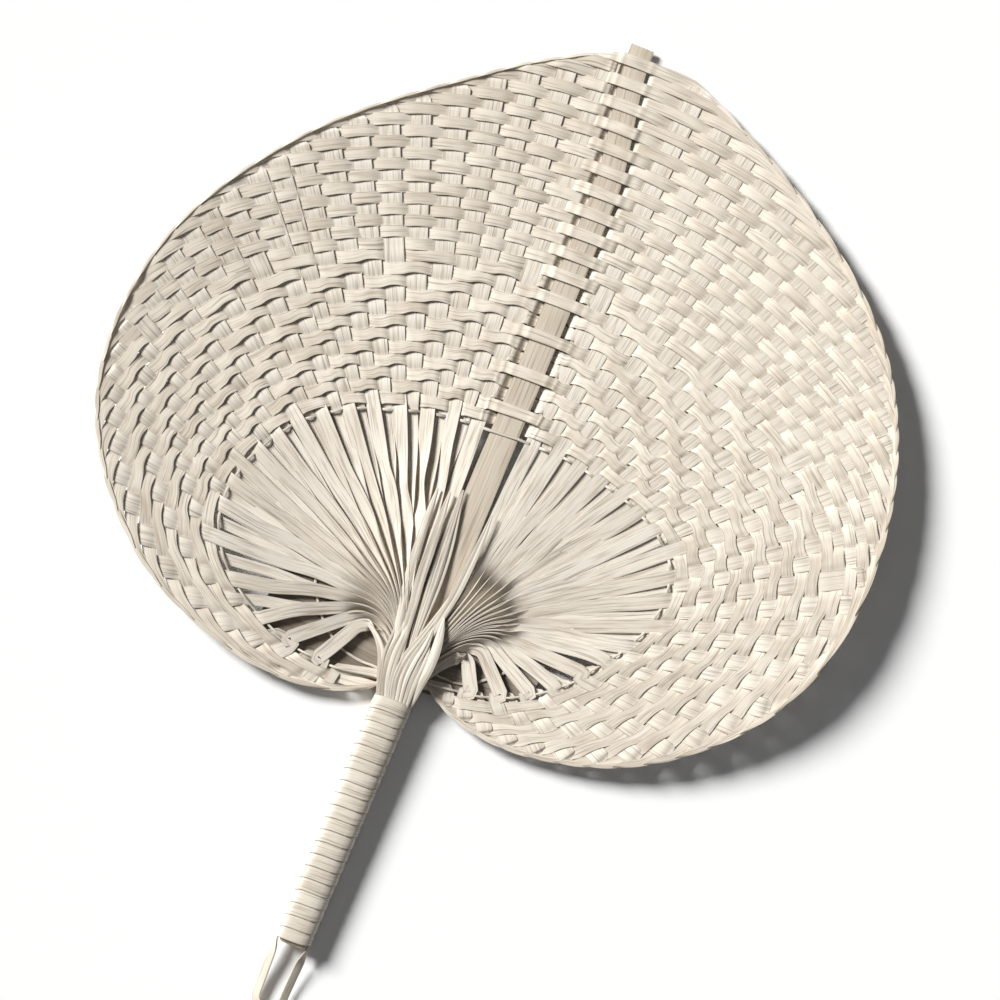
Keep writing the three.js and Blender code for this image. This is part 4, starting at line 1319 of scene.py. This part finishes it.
@dataclass
class Rows:
    """The woven rows and the thin lacing strips."""

    blade: Blade
    thickness: float = 0.32
    twill_width: float = 4.6
    plain_width: float = 4.6
    dive_loss: float = 0.12
    twill_fill: float = 0.9
    plain_fill: float = 0.6
    height: float = 0.48
    squeeze: float = 0.6
    twill_lean: float = 0.19
    plain_lean: float = 0.1
    twill_crown: float = 0.05
    plain_crown: float = 0.04
    rim_margin: float = 0.6
    rib_gap: float = 0.2
    rib_lift: float = 0.4
    rib_reach: float = 3.4
    rib_rest: float = 0.35
    rib_over_rest: float = 0.6
    tip_overlap: float = 0.35
    height_scatter: tuple[float, float] = (0.85, 1.3)
    width_scatter: float = 0.12
    knot_tints: float = 0.75
    row_tints: float = 0.3
    float_rise: float = 0.15
    border_widths: dict = field(default_factory=lambda: {Side.LEFT: (1.1, 2.4), Side.RIGHT: (1.5, 2.4)})
    border_height: float = 0.15
    border_climb: float = 0.04
    first_fold: float = 10.0
    widest_fold: float = 170.0
    border_start: float = 0.12
    border_growth: float = 3.0
    # Folded ends are narrow above these degrees and broad from so many degrees further on
    border_turn: tuple[float, float] = (60.0, 40.0)
    rim_reach: float = 0.3
    rim_swell: float = 1.1
    steps: int = 8

    def crossings(self, radius_at: Curve, over: Callable[[Array], Array], height: float) -> list[Crossing]:
        """Lists what a line round the hub crosses, from left to right.

        Args:
            radius_at: The line's radius at each angle.
            over: Whether the strip lies over each number.
            height: How far its middle rises over a stake.

        Returns:
            Crossings inside the outline.
        """
        blade, rays = self.blade, self.blade.rays
        distance = rays.to_line(radius_at)
        radius, degrees = blade.polar(rays.at(distance))
        inside = radius < blade.outline(degrees) - self.rim_margin
        flags = over(rays.number)
        order = np.argsort(degrees)
        listed = [
            Crossing(int(rays.number[k]), float(degrees[k]), bool(flags[k]), height)
            for k in order
            if inside[k]
        ]
        rib_y = blade.hub_height + float(radius_at(0.0))
        _, middle = blade.polar(np.array([float(blade.rib_sway(rib_y)), rib_y]))
        half_width = float(blade.rib_width(rib_y)) / 2 + self.rib_gap
        half = math.degrees(half_width / float(radius_at(0.0)))
        lift = float(blade.rib_thickness(rib_y)) / 2 + self.rib_lift
        rib = Crossing(0, float(middle), bool(over(np.array([0]))[0]), lift, half)
        at = sum(1 for crossing in listed if crossing.number < 0)
        return [*listed[:at], rib, *listed[at:]]

    def knots(self, crossings: list[Crossing]) -> tuple[Array, Array, Array]:
        """Turns crossings into knots of a strip's wave.

        Args:
            crossings: The crossings from left to right.

        Returns:
            Angles, signed heights and the crossing each knot belongs to.
        """
        angles, heights, owners = [], [], []
        for k, crossing in enumerate(crossings):
            sign = 1 if crossing.over else -1
            knots = ((0.0, sign * crossing.lift),)
            if crossing.number == 0:
                # Close to the rib the strip rises or stays up, so no hole is left there
                reach = crossing.half_degrees * (1 + 2 * self.rib_reach / self.blade.rib_tip_width)
                rest = self.rib_over_rest * crossing.lift if crossing.over else self.rib_rest
                edge = crossing.half_degrees
                top = sign * crossing.lift
                knots = ((-reach, rest), (-edge, top), (edge, top), (reach, rest))
            for shift, height in knots:
                angles.append(crossing.degrees + shift)
                heights.append(height)
                owners.append(k)
        return np.array(angles), np.array(heights), np.array(owners)

    def leaving(self, side: int, radius_at: Curve) -> float:
        """Finds where a line leaves the outline.

        Args:
            side: Side of the rib, -1 or 1.
            radius_at: The line's radius at each angle.

        Returns:
            The angle in degrees.
        """
        inside, outside = 0.0, side * 180.0
        for _ in range(SEARCH_STEPS):
            middle = (inside + outside) / 2
            if float(radius_at(middle)) < float(self.blade.outline(middle)):
                inside = middle
            else:
                outside = middle
        return inside

    def __post_init__(self) -> None:
        """Finds the angles at which the rows' inner edges leave the outline."""
        self.tips: dict[Side, list[float]] = {side: [] for side in Side}
        for row in range(self.blade.row_count):
            radius_at, half_width = self.blade.row_radius(row), self.blade.row_width(row) / 2
            for side in Side:
                inner_edge = half_width - self.tip_overlap
                self.tips[side].append(self.leaving(side.value, lambda a: radius_at(a) - inner_edge))

    def fold_end(self, side: Side, row: int) -> float:
        """Finds where a row's folded end stops: beyond the next row's tip.

        Args:
            side: Side of the rib.
            row: The row's number.

        Returns:
            The angle in degrees.
        """
        tips = self.tips[side]
        if row < 2:
            return side.value * min(abs(tips[row]) + self.first_fold, self.widest_fold)
        return lerp(tips[row - 1], tips[row - 2], 0.5)

    def squeezed(self, row: int, numbers: Array) -> Array:
        """Finds where the neighbours' floats push a row aside.

        Args:
            row: Its number from the lacing outward.
            numbers: Numbers of the stakes at its knots.

        Returns:
            How far it moves outward at each knot.
        """
        if not 0 < row < self.blade.row_count - 1:
            return np.zeros(len(numbers))
        below, over, above = (self.blade.lies_over(row + step, numbers) for step in (-1, 0, 1))
        shift = np.where(over & above & ~below, self.squeeze, 0.0)
        return np.where(over & ~above & below, -self.squeeze, shift)

    def ends(self, row: int, angles: Array) -> tuple[list[float], list[float]]:
        """Finds a row's tips and the ends of its folds along the rim, over the next rows' ends.

        Args:
            row: Its number from the lacing outward.
            angles: Angles of its knots.

        Returns:
            Angles of both tips and of both folds' ends.
        """
        tip = [self.tips[side][row] for side in Side]
        tip = [min(tip[0], angles[0] - 0.5), max(tip[1], angles[-1] + 0.5)]
        fold = [self.fold_end(side, row) for side in Side]
        return tip, [min(fold[0], tip[0] - 0.5), max(fold[1], tip[1] + 0.5)]

    def rim_and_border(self, fine: Array, tip: list[float], fold: list[float]) -> tuple[Array, Array]:
        """Finds the scalloped rim over a row's folded ends and how broad they are.

        Args:
            fine: Angles along the row.
            tip: Angles of its tips.
            fold: Angles of its folds' ends.

        Returns:
            The rim's radius and the border's width at each angle.
        """
        left = fine < 0
        left_over = np.where(left, fine - fold[0], fold[1] - fine)
        left_over /= np.where(left, tip[0] - fold[0], fold[1] - tip[1])
        rim = self.blade.outline(fine) + self.rim_reach
        rim = rim + self.rim_swell * np.sin(np.pi * np.clip(left_over, 0.0, 1.0))
        start, length = self.border_turn
        turned = smooth((np.abs(fine) - start) / length)
        narrow, broad = (np.where(left, *(self.border_widths[side][k] for side in Side)) for k in (0, 1))
        taper = np.clip(self.border_start + self.border_growth * left_over, 0.0, 1.0)
        return rim, lerp(narrow, broad, turned) * taper

    def row_strip(self, row: int, rng: np.random.Generator) -> StripPath:
        """Builds one woven row.

        Args:
            row: Its number from the lacing outward.
            rng: Source of small unevenness.

        Returns:
            The row's path.
        """
        blade = self.blade
        twill = row < blade.twill_rows
        full = self.twill_width if twill else self.plain_width
        fill = self.twill_fill if twill else self.plain_fill
        lean = self.twill_lean if twill else self.plain_lean
        crown = self.twill_crown if twill else self.plain_crown
        radius_at = blade.row_radius(row)
        found = self.crossings(radius_at, lambda n: blade.lies_over(row, n), self.height)
        angles, heights, owners = self.knots(found)
        numbers = np.array([found[k].number for k in owners])
        over = blade.lies_over(row, numbers)
        heights = heights * np.where(over, rng.uniform(*self.height_scatter, len(heights)), 1.0)
        spread = rng.uniform(-self.width_scatter, self.width_scatter, len(heights))
        tints = rng.uniform(0.0, 1.0, len(heights)) * self.knot_tints + rng.uniform(0, self.row_tints)
        tip, fold = self.ends(row, angles)
        angles = np.concatenate([[fold[0], tip[0]], angles, [tip[1], fold[1]]])
        heights = np.pad(heights, 2, constant_values=self.border_height)
        shift, spread = np.pad(self.squeezed(row, numbers), 2), np.pad(spread, 2)
        tints = np.pad(tints, 2, mode="edge")
        slot = np.repeat(np.arange(len(angles) - 1), self.steps)
        runs = [np.linspace(a, b, self.steps + 1)[1:] for a, b in zip(angles, angles[1:])]
        fine, slot = np.concatenate([angles[:1], *runs]), np.concatenate([[0], slot])
        part = (fine - angles[slot]) / (angles[slot + 1] - angles[slot])
        share = smooth(smooth(part))

        def between(values: Array) -> Array:
            """Returns the knots' values along the row."""
            return lerp(values[slot], values[slot + 1], share)

        both = (heights[slot] > 0) & (heights[slot + 1] > 0)
        past = np.where(fine < 0, tip[0] - fine, fine - tip[1]).clip(0.0)
        height = between(heights) + np.where(both, self.float_rise * np.sin(np.pi * part), 0.0)
        height += self.border_climb * np.radians(past) * blade.outline(fine)
        raised = np.clip(height / self.height / 2 + 0.5, 0, 1)
        wide = lerp(full - self.dive_loss, full, raised) + between(spread)
        wide += np.where(both, 0.0, fill * np.sin(np.pi * part) ** 2)
        middle = radius_at(fine) + between(shift)
        rim, border = self.rim_and_border(fine, tip, fold)
        inner = blade.place(fine, np.minimum(middle - wide / 2, rim - border))
        outer = blade.place(fine, np.minimum(middle + wide / 2, rim))
        normal = blade.normal((inner + outer) / 2)
        first = blade.surface(inner) + normal * (height + lean * raised)[:, None]
        second = blade.surface(outer) + normal * (height - lean * raised)[:, None]
        lift = unit(np.cross(np.gradient((first + second) / 2, axis=0), second - first))
        lift *= np.sign(lift[:, 2:3])
        return StripPath(first, second, lift, self.thickness, crown * raised, between(tints))

    def build(self, shop: Workshop) -> None:
        """Builds every row.

        Args:
            shop: Maker of the finishes.
        """
        for row in range(self.blade.row_count):
            rng = np.random.default_rng([SEED, Draw.ROWS, row])
            mesh = StripMesh(rng)
            mesh.add(self.row_strip(row, rng))
            label = f"{row + 1:02d}"
            piece = mesh.piece(f"woven_row_{label}", shop.finish(ROW_FINISH))
            fit_out(piece, "weft", f"weft_row_{label}")


@dataclass
class Lacing:
    """The two slivers that hold the stakes apart below the first row."""

    rows: Rows
    width: float = 1.1
    thickness: float = 0.4
    height: float = 0.8
    outer_angles: tuple[float, float] = (-171.0, 166.0)
    inner_angles: tuple[float, float] = (-165.0, 156.0)
    inner_knots: int = 70
    inner_drop: float = 0.375
    end_margin: float = 3.0
    steps: int = 6
    sway: float = 0.35
    crown: float = 0.12
    tints: tuple[float, float] = (0.1, 0.5)

    def strip(self, radius_at: Curve, angles: Array, heights: Array, rng: np.random.Generator) -> StripPath:
        """Builds a sliver through knots.

        Args:
            radius_at: Its line.
            angles: Angles of the knots.
            heights: Heights of the knots.
            rng: Source of small unevenness.

        Returns:
            The sliver's path.
        """
        blade = self.rows.blade
        runs = [np.linspace(a, b, self.steps)[:-1] for a, b in zip(angles, angles[1:])]
        fine = np.concatenate([*runs, angles[-1:]])
        slot = np.clip(np.searchsorted(angles, fine, side="right") - 1, 0, len(angles) - 2)
        share = ease((fine - angles[slot]) / (angles[slot + 1] - angles[slot]))
        height = lerp(heights[slot], heights[slot + 1], share)
        sway = np.interp(fine, angles, rng.uniform(-self.sway, self.sway, len(angles)))
        middle = radius_at(fine) + sway
        inner = blade.place(fine, middle - self.width / 2)
        outer = blade.place(fine, middle + self.width / 2)
        normal = blade.normal((inner + outer) / 2)
        first = blade.surface(inner) + normal * height[:, None]
        second = blade.surface(outer) + normal * height[:, None]
        return StripPath(first, second, normal, self.thickness, self.crown, rng.uniform(*self.tints))

    def build(self, shop: Workshop) -> None:
        """Builds both slivers.

        Args:
            shop: Maker of the finishes.
        """
        blade = self.rows.blade
        rng = np.random.default_rng([SEED, Draw.LACING])
        found = self.rows.crossings(blade.lacing, lambda n: n % 2 == 0, self.height)
        low, high = self.outer_angles
        least, most = low + self.end_margin, high - self.end_margin
        angles, heights, _ = self.rows.knots([c for c in found if least < c.degrees < most])
        angles = np.concatenate([[low], angles, [high]])
        heights = np.concatenate([[self.height], heights, [self.height]])
        mesh = StripMesh(rng)
        mesh.add(self.strip(blade.lacing, angles, heights, rng))
        fit_out(mesh.piece("lacing_sliver_outer", shop.finish(LACING_FINISH)), "lacing", "lacing_outer")
        angles = np.linspace(*self.inner_angles, self.inner_knots)
        under = np.full(self.inner_knots, -blade.rib_root_thickness / 2 - self.inner_drop)
        mesh = StripMesh(rng)
        mesh.add(self.strip(blade.inner_lacing, angles, under, rng))
        fit_out(mesh.piece("lacing_sliver_inner", shop.finish(LACING_FINISH)), "lacing", "lacing_inner")


@dataclass
class Rib:
    """The flat slat from the handle to the tip."""

    blade: Blade
    overhang: float = 1.2
    root_mid: float = 3.9
    root_depth: float = 10.0
    stations: int = 90
    edge_share: float = 0.9
    crown: float = 0.22
    tint: float = 0.5

    def build(self, shop: Workshop) -> None:
        """Builds the slat with its rounded face.

        Args:
            shop: Maker of the finishes.
        """
        blade = self.blade
        rng = np.random.default_rng([SEED, Draw.RIB])
        y = np.linspace(-self.root_depth, blade.end_y + self.overhang, self.stations)
        level = blade.hub_height + float(blade.inner_lacing(0.0))
        centre = blade.surface(np.stack([blade.rib_sway(y), y], axis=-1))
        rise = smooth((y - blade.hub_height) / (level - blade.hub_height))
        centre[:, 2] = lerp(self.root_mid, centre[:, 2], rise)
        heading = unit(np.gradient(centre, axis=0))
        across = unit(np.cross(heading, UP))
        half = across * (blade.rib_width(y) / 2)[:, None]
        lift = unit(np.cross(across, heading))
        thickness = blade.rib_thickness(y) * self.edge_share
        mesh = StripMesh(rng)
        mesh.add(StripPath(centre - half, centre + half, lift, thickness, self.crown, self.tint))
        fit_out(mesh.piece("rib_slat", shop.finish(RIB_FINISH)), "rib", "central_rib")


# --------------------------------------------------------------------------- handle


@dataclass
class Handle:
    """The wound handle, the stick inside it and the loop."""

    length: float = 104.0
    turns: int = 20
    strip_width: float = 5.3
    strip_thickness: float = 0.4
    top_width: float = 16.2
    end_width: float = 14.4
    top_depth: float = 11.0
    end_depth: float = 10.0
    # The section's superellipse: 1 is an ellipse, 0 a box
    power: float = 0.42
    crease_place: float = 0.3
    crease_slope: float = 0.24
    wrap_steps: int = 48
    wrap_marks: int = 6
    wrap_wobble: float = 0.2
    wrap_crown: float = 0.12
    tuck: float = 0.22
    core_gap: float = 0.3
    core_inset: float = 0.3
    core_overhang: float = 1.5
    core_span: tuple[float, float] = (-102.0, -10.5)
    core_depth_share: float = 0.8
    core_stations: int = 24
    # The stick's rounded end as distances from its tip and how much narrower it is there
    core_end: tuple[float, ...] = (0.0, 0.25, 0.7, 1.4)
    core_shrink: tuple[float, ...] = (1.6, 0.9, 0.35, 0.0)
    plain_tint: float = 0.6
    loop_root: float = 13.7
    loop_stations: int = 18
    bow_stations: int = 24
    loop_crown: float = 0.1
    loop_width: float = 3.2
    loop_thickness: float = 0.6
    loop_reach: float = 29.0
    loop_bow_width: float = 11.0
    loop_mid: float = 2.6
    loop_lean: float = 24.0

    def size(self, y: Array) -> tuple[Array, Array]:
        """Returns the handle's width and depth."""
        share = np.clip(-np.asarray(y) / self.length, 0, 1)
        return lerp(self.top_width, self.end_width, share), lerp(self.top_depth, self.end_depth, share)

    def section(self, turn: Array, y: Array, inset: float) -> tuple[Array, Array]:
        """Returns points round the handle and the directions outward.

        Args:
            turn: Share of a turn, from the upper face's left edge clockwise from above.
            y: Places along the handle.
            inset: How far inside the outer skin.

        Returns:
            Points (x, z) and unit normals (x, z).
        """
        width, depth = self.size(y)
        # A rounded box as a superellipse, which is flat above and below
        angle = np.pi - 2 * np.pi * np.asarray(turn)
        power = self.power
        c, s = np.cos(angle), np.sin(angle)
        x = (width / 2 - inset) * np.sign(c) * np.abs(c) ** power
        z = (depth / 2 - inset) * np.sign(s) * np.abs(s) ** power
        nx = np.sign(c) * np.abs(c) ** (2 - power) / (width / 2)
        nz = np.sign(s) * np.abs(s) ** (2 - power) / (depth / 2)
        # The upper face falls away right of a crease
        beyond = np.clip(x - self.crease_place * width / 2, 0.0, None) * (s > 0)
        z = z - self.crease_slope * beyond
        nx = nx + np.where(beyond > 0, self.crease_slope * nz, 0.0)
        return np.stack([x, z + depth / 2], axis=-1), unit(np.stack([nx, nz], axis=-1))

    def build_wrap(self, shop: Workshop) -> None:
        """Winds the strip round the handle, each turn a little over the last.

        Args:
            shop: Maker of the finishes.
        """
        rng = np.random.default_rng([SEED, Draw.WRAP])
        count = self.turns * self.wrap_steps
        turn = np.arange(count + 1) / self.wrap_steps
        climb = self.length - self.strip_width
        marks = np.linspace(0, self.turns, self.turns * self.wrap_marks + 1)
        wobble = rng.uniform(-self.wrap_wobble, self.wrap_wobble, len(marks))
        wobble = np.interp(turn, marks, wobble)
        # The first and last passes over the upper face lie at the wrap's ends
        y = -self.length + self.strip_width / 2 + climb * (turn - 0.25) / (self.turns - 1) + wobble
        y = np.clip(y, -self.length + self.strip_width / 2, -self.strip_width / 2)
        point, normal = self.section(turn % 1.0, y, self.strip_thickness / 2 + self.tuck)
        centre = np.stack([point[:, 0], y, point[:, 1]], axis=-1)
        lift = np.stack([normal[:, 0], np.zeros(count + 1), normal[:, 1]], axis=-1)
        along = np.array([0.0, self.strip_width / 2, 0.0])
        tints = np.interp(turn, np.arange(0, self.turns + 1), rng.uniform(0.0, 1.0, self.turns + 1))
        tuck = lift * self.tuck
        first, second = centre - along + tuck, centre + along - tuck
        mesh = StripMesh(rng)
        mesh.add(StripPath(first, second, lift, self.strip_thickness, self.wrap_crown, tints))
        fit_out(mesh.piece("wound_wrap", shop.finish(WRAP_FINISH)), "wrap", "handle_wrap")

    def build_core(self, shop: Workshop) -> None:
        """Builds the stick with its rounded lower end.

        Args:
            shop: Maker of the finishes.
        """
        rng = np.random.default_rng([SEED, Draw.CORE])
        inset = self.strip_thickness + self.core_gap + self.core_inset
        tail = self.loop_thickness + self.core_gap
        tip = -self.length - self.core_overhang + np.array(self.core_end)
        y = np.concatenate([tip, np.linspace(*self.core_span, self.core_stations)])
        width, depth = self.size(y)
        shrink = np.pad(np.array(self.core_shrink), (0, self.core_stations))
        half = width / 2 - inset - tail - shrink
        middle = np.stack([np.zeros_like(y), y, depth / 2], axis=-1)
        across = np.stack([half, np.zeros_like(y), np.zeros_like(y)], axis=-1)
        up = np.tile(UP, (len(y), 1))
        thick = (depth - 2 * inset - 2 * shrink) * self.core_depth_share
        mesh = StripMesh(rng)
        mesh.add(StripPath(middle - across, middle + across, up, thick, 0.0, self.plain_tint))
        fit_out(mesh.piece("core_stick", shop.finish(CORE_FINISH)), "core", "handle_core")

    def build_loop(self, shop: Workshop) -> None:
        """Bends the hanging loop from one side of the core round to the other.

        Args:
            shop: Maker of the finishes.
        """
        rng = np.random.default_rng([SEED, Draw.LOOP])
        seat = self.end_width / 2 - self.strip_thickness - self.core_gap - self.loop_thickness / 2
        seat_z = self.end_depth / 2
        bow = self.loop_bow_width / 2
        bow_y = -self.length - self.loop_reach + bow
        t = np.linspace(0, 1, self.loop_stations)
        side_y = lerp(-self.length + self.loop_root, bow_y, t)
        out = np.clip((-self.length - side_y) / (-self.length - bow_y), 0, 1)
        side_x = lerp(seat, bow, smooth(out))
        side_z = lerp(seat_z, self.loop_mid, smooth(out))
        tilt = lerp(90.0, self.loop_lean, smooth(out * 3.0))
        angle = np.radians(np.linspace(180.0, 360.0, self.bow_stations + 2)[1:-1])
        x = np.concatenate([-side_x, bow * np.cos(angle), side_x[::-1]])
        y = np.concatenate([side_y, bow_y + bow * np.sin(angle), side_y[::-1]])
        z = np.concatenate([side_z, np.full(self.bow_stations, self.loop_mid), side_z[::-1]])
        lean = np.concatenate([tilt, np.full(self.bow_stations, self.loop_lean), tilt[::-1]])
        lean = np.radians(lean)[:, None]
        centre = np.stack([x, y, z], axis=-1)
        heading = unit(np.gradient(centre, axis=0))
        across = unit(np.cross(heading, UP))
        up = unit(np.cross(across, heading))
        edge = across * np.cos(lean) - up * np.sin(lean)
        lift = up * np.cos(lean) + across * np.sin(lean)
        half = edge * self.loop_width / 2
        mesh = StripMesh(rng)
        first, second = centre - half, centre + half
        mesh.add(StripPath(first, second, lift, self.loop_thickness, self.loop_crown, self.plain_tint))
        fit_out(mesh.piece("loop_strip", shop.finish(LOOP_FINISH)), "loop", "hanging_loop")

    def build(self, shop: Workshop) -> None:
        """Builds the handle's three pieces.

        Args:
            shop: Maker of the finishes.
        """
        self.build_core(shop)
        self.build_wrap(shop)
        self.build_loop(shop)


# --------------------------------------------------------------------------- studio


@dataclass(frozen=True)
class Studio:
    """Camera straight above, one soft lamp from the upper left and a pale floor."""

    turn: float = 22.7
    frame_width: float = 0.396
    aim: tuple[float, float] = (0.0097, 0.0179)
    distance: float = 2.4
    aim_height: float = 0.005
    sensor: float = 36.0
    sight: float = 20.0
    lamp_bearing: tuple[float, float] = (-0.947, 0.319)
    lamp_rise: float = 33.0
    lamp_strength: float = 5.3
    lamp_angle: float = 19.0
    lamp_colour: tuple[float, float, float] = (1.0, 0.985, 0.96)
    sky: float = 0.115
    floor_size: float = 6.0
    floor_colour: tuple[float, float, float] = (0.97, 0.985, 1.0)
    floor_roughness: float = 0.9
    floor_gap: float = 0.0002

    def build_camera(self) -> None:
        """Hangs the camera over the fan."""
        data = bpy.data.cameras.new("overhead")
        data.sensor_width = self.sensor
        data.lens = data.sensor_width * self.distance / self.frame_width
        data.clip_end = self.sight
        camera = bpy.data.objects.new("overhead", data)
        camera.location = (*self.aim, self.distance + self.aim_height)
        camera.rotation_euler = (0.0, 0.0, math.radians(self.turn))
        bpy.context.scene.collection.objects.link(camera)
        bpy.context.scene.camera = camera

    def build_light(self) -> None:
        """Sets the lamp and an even surrounding light."""
        data = bpy.data.lights.new("window", "SUN")
        data.energy = self.lamp_strength
        data.angle = math.radians(self.lamp_angle)
        data.color = self.lamp_colour
        lamp = bpy.data.objects.new("window", data)
        rise = math.radians(self.lamp_rise)
        towards = np.array([*unit(np.array(self.lamp_bearing)) * math.cos(rise), math.sin(rise)])
        lamp.rotation_euler = Vector(towards).to_track_quat("Z", "Y").to_euler()
        bpy.context.scene.collection.objects.link(lamp)
        world = bpy.data.worlds.new("studio")
        world.use_nodes = True
        tree = world.node_tree
        shade = tree.nodes["Background"]
        shade.inputs["Color"].default_value = (1.0, 1.0, 1.0, 1.0)
        # White where the camera looks past the floor, weaker as light
        seen = add_node(tree, "ShaderNodeLightPath")
        strength = add_node(tree, "ShaderNodeMix")
        feed(tree, seen.outputs["Is Camera Ray"], strength.inputs[0])
        feed(tree, self.sky, strength.inputs[2])
        feed(tree, 1.0, strength.inputs[3])
        feed(tree, strength.outputs[0], shade.inputs["Strength"])
        bpy.context.scene.world = world

    def build_floor(self) -> None:
        """Lays the floor."""
        mesh = bpy.data.meshes.new("floor")
        work = bmesh.new()
        bmesh.ops.create_grid(work, x_segments=2, y_segments=2, size=self.floor_size / 2)
        work.to_mesh(mesh)
        work.free()
        paint = bpy.data.materials.new("floor_paint")
        paint.use_nodes = True
        tree = paint.node_tree
        shader = tree.nodes["Principled BSDF"]
        shader.inputs["Base Color"].default_value = (*self.floor_colour, 1.0)
        shader.inputs["Roughness"].default_value = self.floor_roughness
        shader.inputs["Specular IOR Level"].default_value = 0.0
        mesh.materials.append(paint)
        floor = bpy.data.objects.new("floor", mesh)
        floor.location = (0.0, 0.0, -self.floor_gap)
        bpy.context.scene.collection.objects.link(floor)
        floor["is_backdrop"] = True

    def build(self) -> None:
        """Sets up the whole studio."""
        self.build_camera()
        self.build_light()
        self.build_floor()
        scene = bpy.context.scene
        scene.view_settings.view_transform = "Standard"


def write_sizes() -> None:
    """Lists the corners of the CAD box and the dressed fan's box."""
    boxes = {"cad": CAD_BOUNDS, "visual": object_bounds()}
    lists = {name: [list(corner) for corner in box] for name, box in boxes.items()}


def main() -> None:
    """Builds the fan and its studio."""
    logging.basicConfig(level=logging.INFO, format="%(name)s: %(message)s")
    shop = Workshop()
    blade = Blade()
    rows = Rows(blade)
    Studio().build()
    Stakes(blade).build(shop)
    rows.build(shop)
    Lacing(rows).build(shop)
    Rib(blade).build(shop)
    Handle().build(shop)
    write_sizes()


if __name__ == "__main__":
    main()
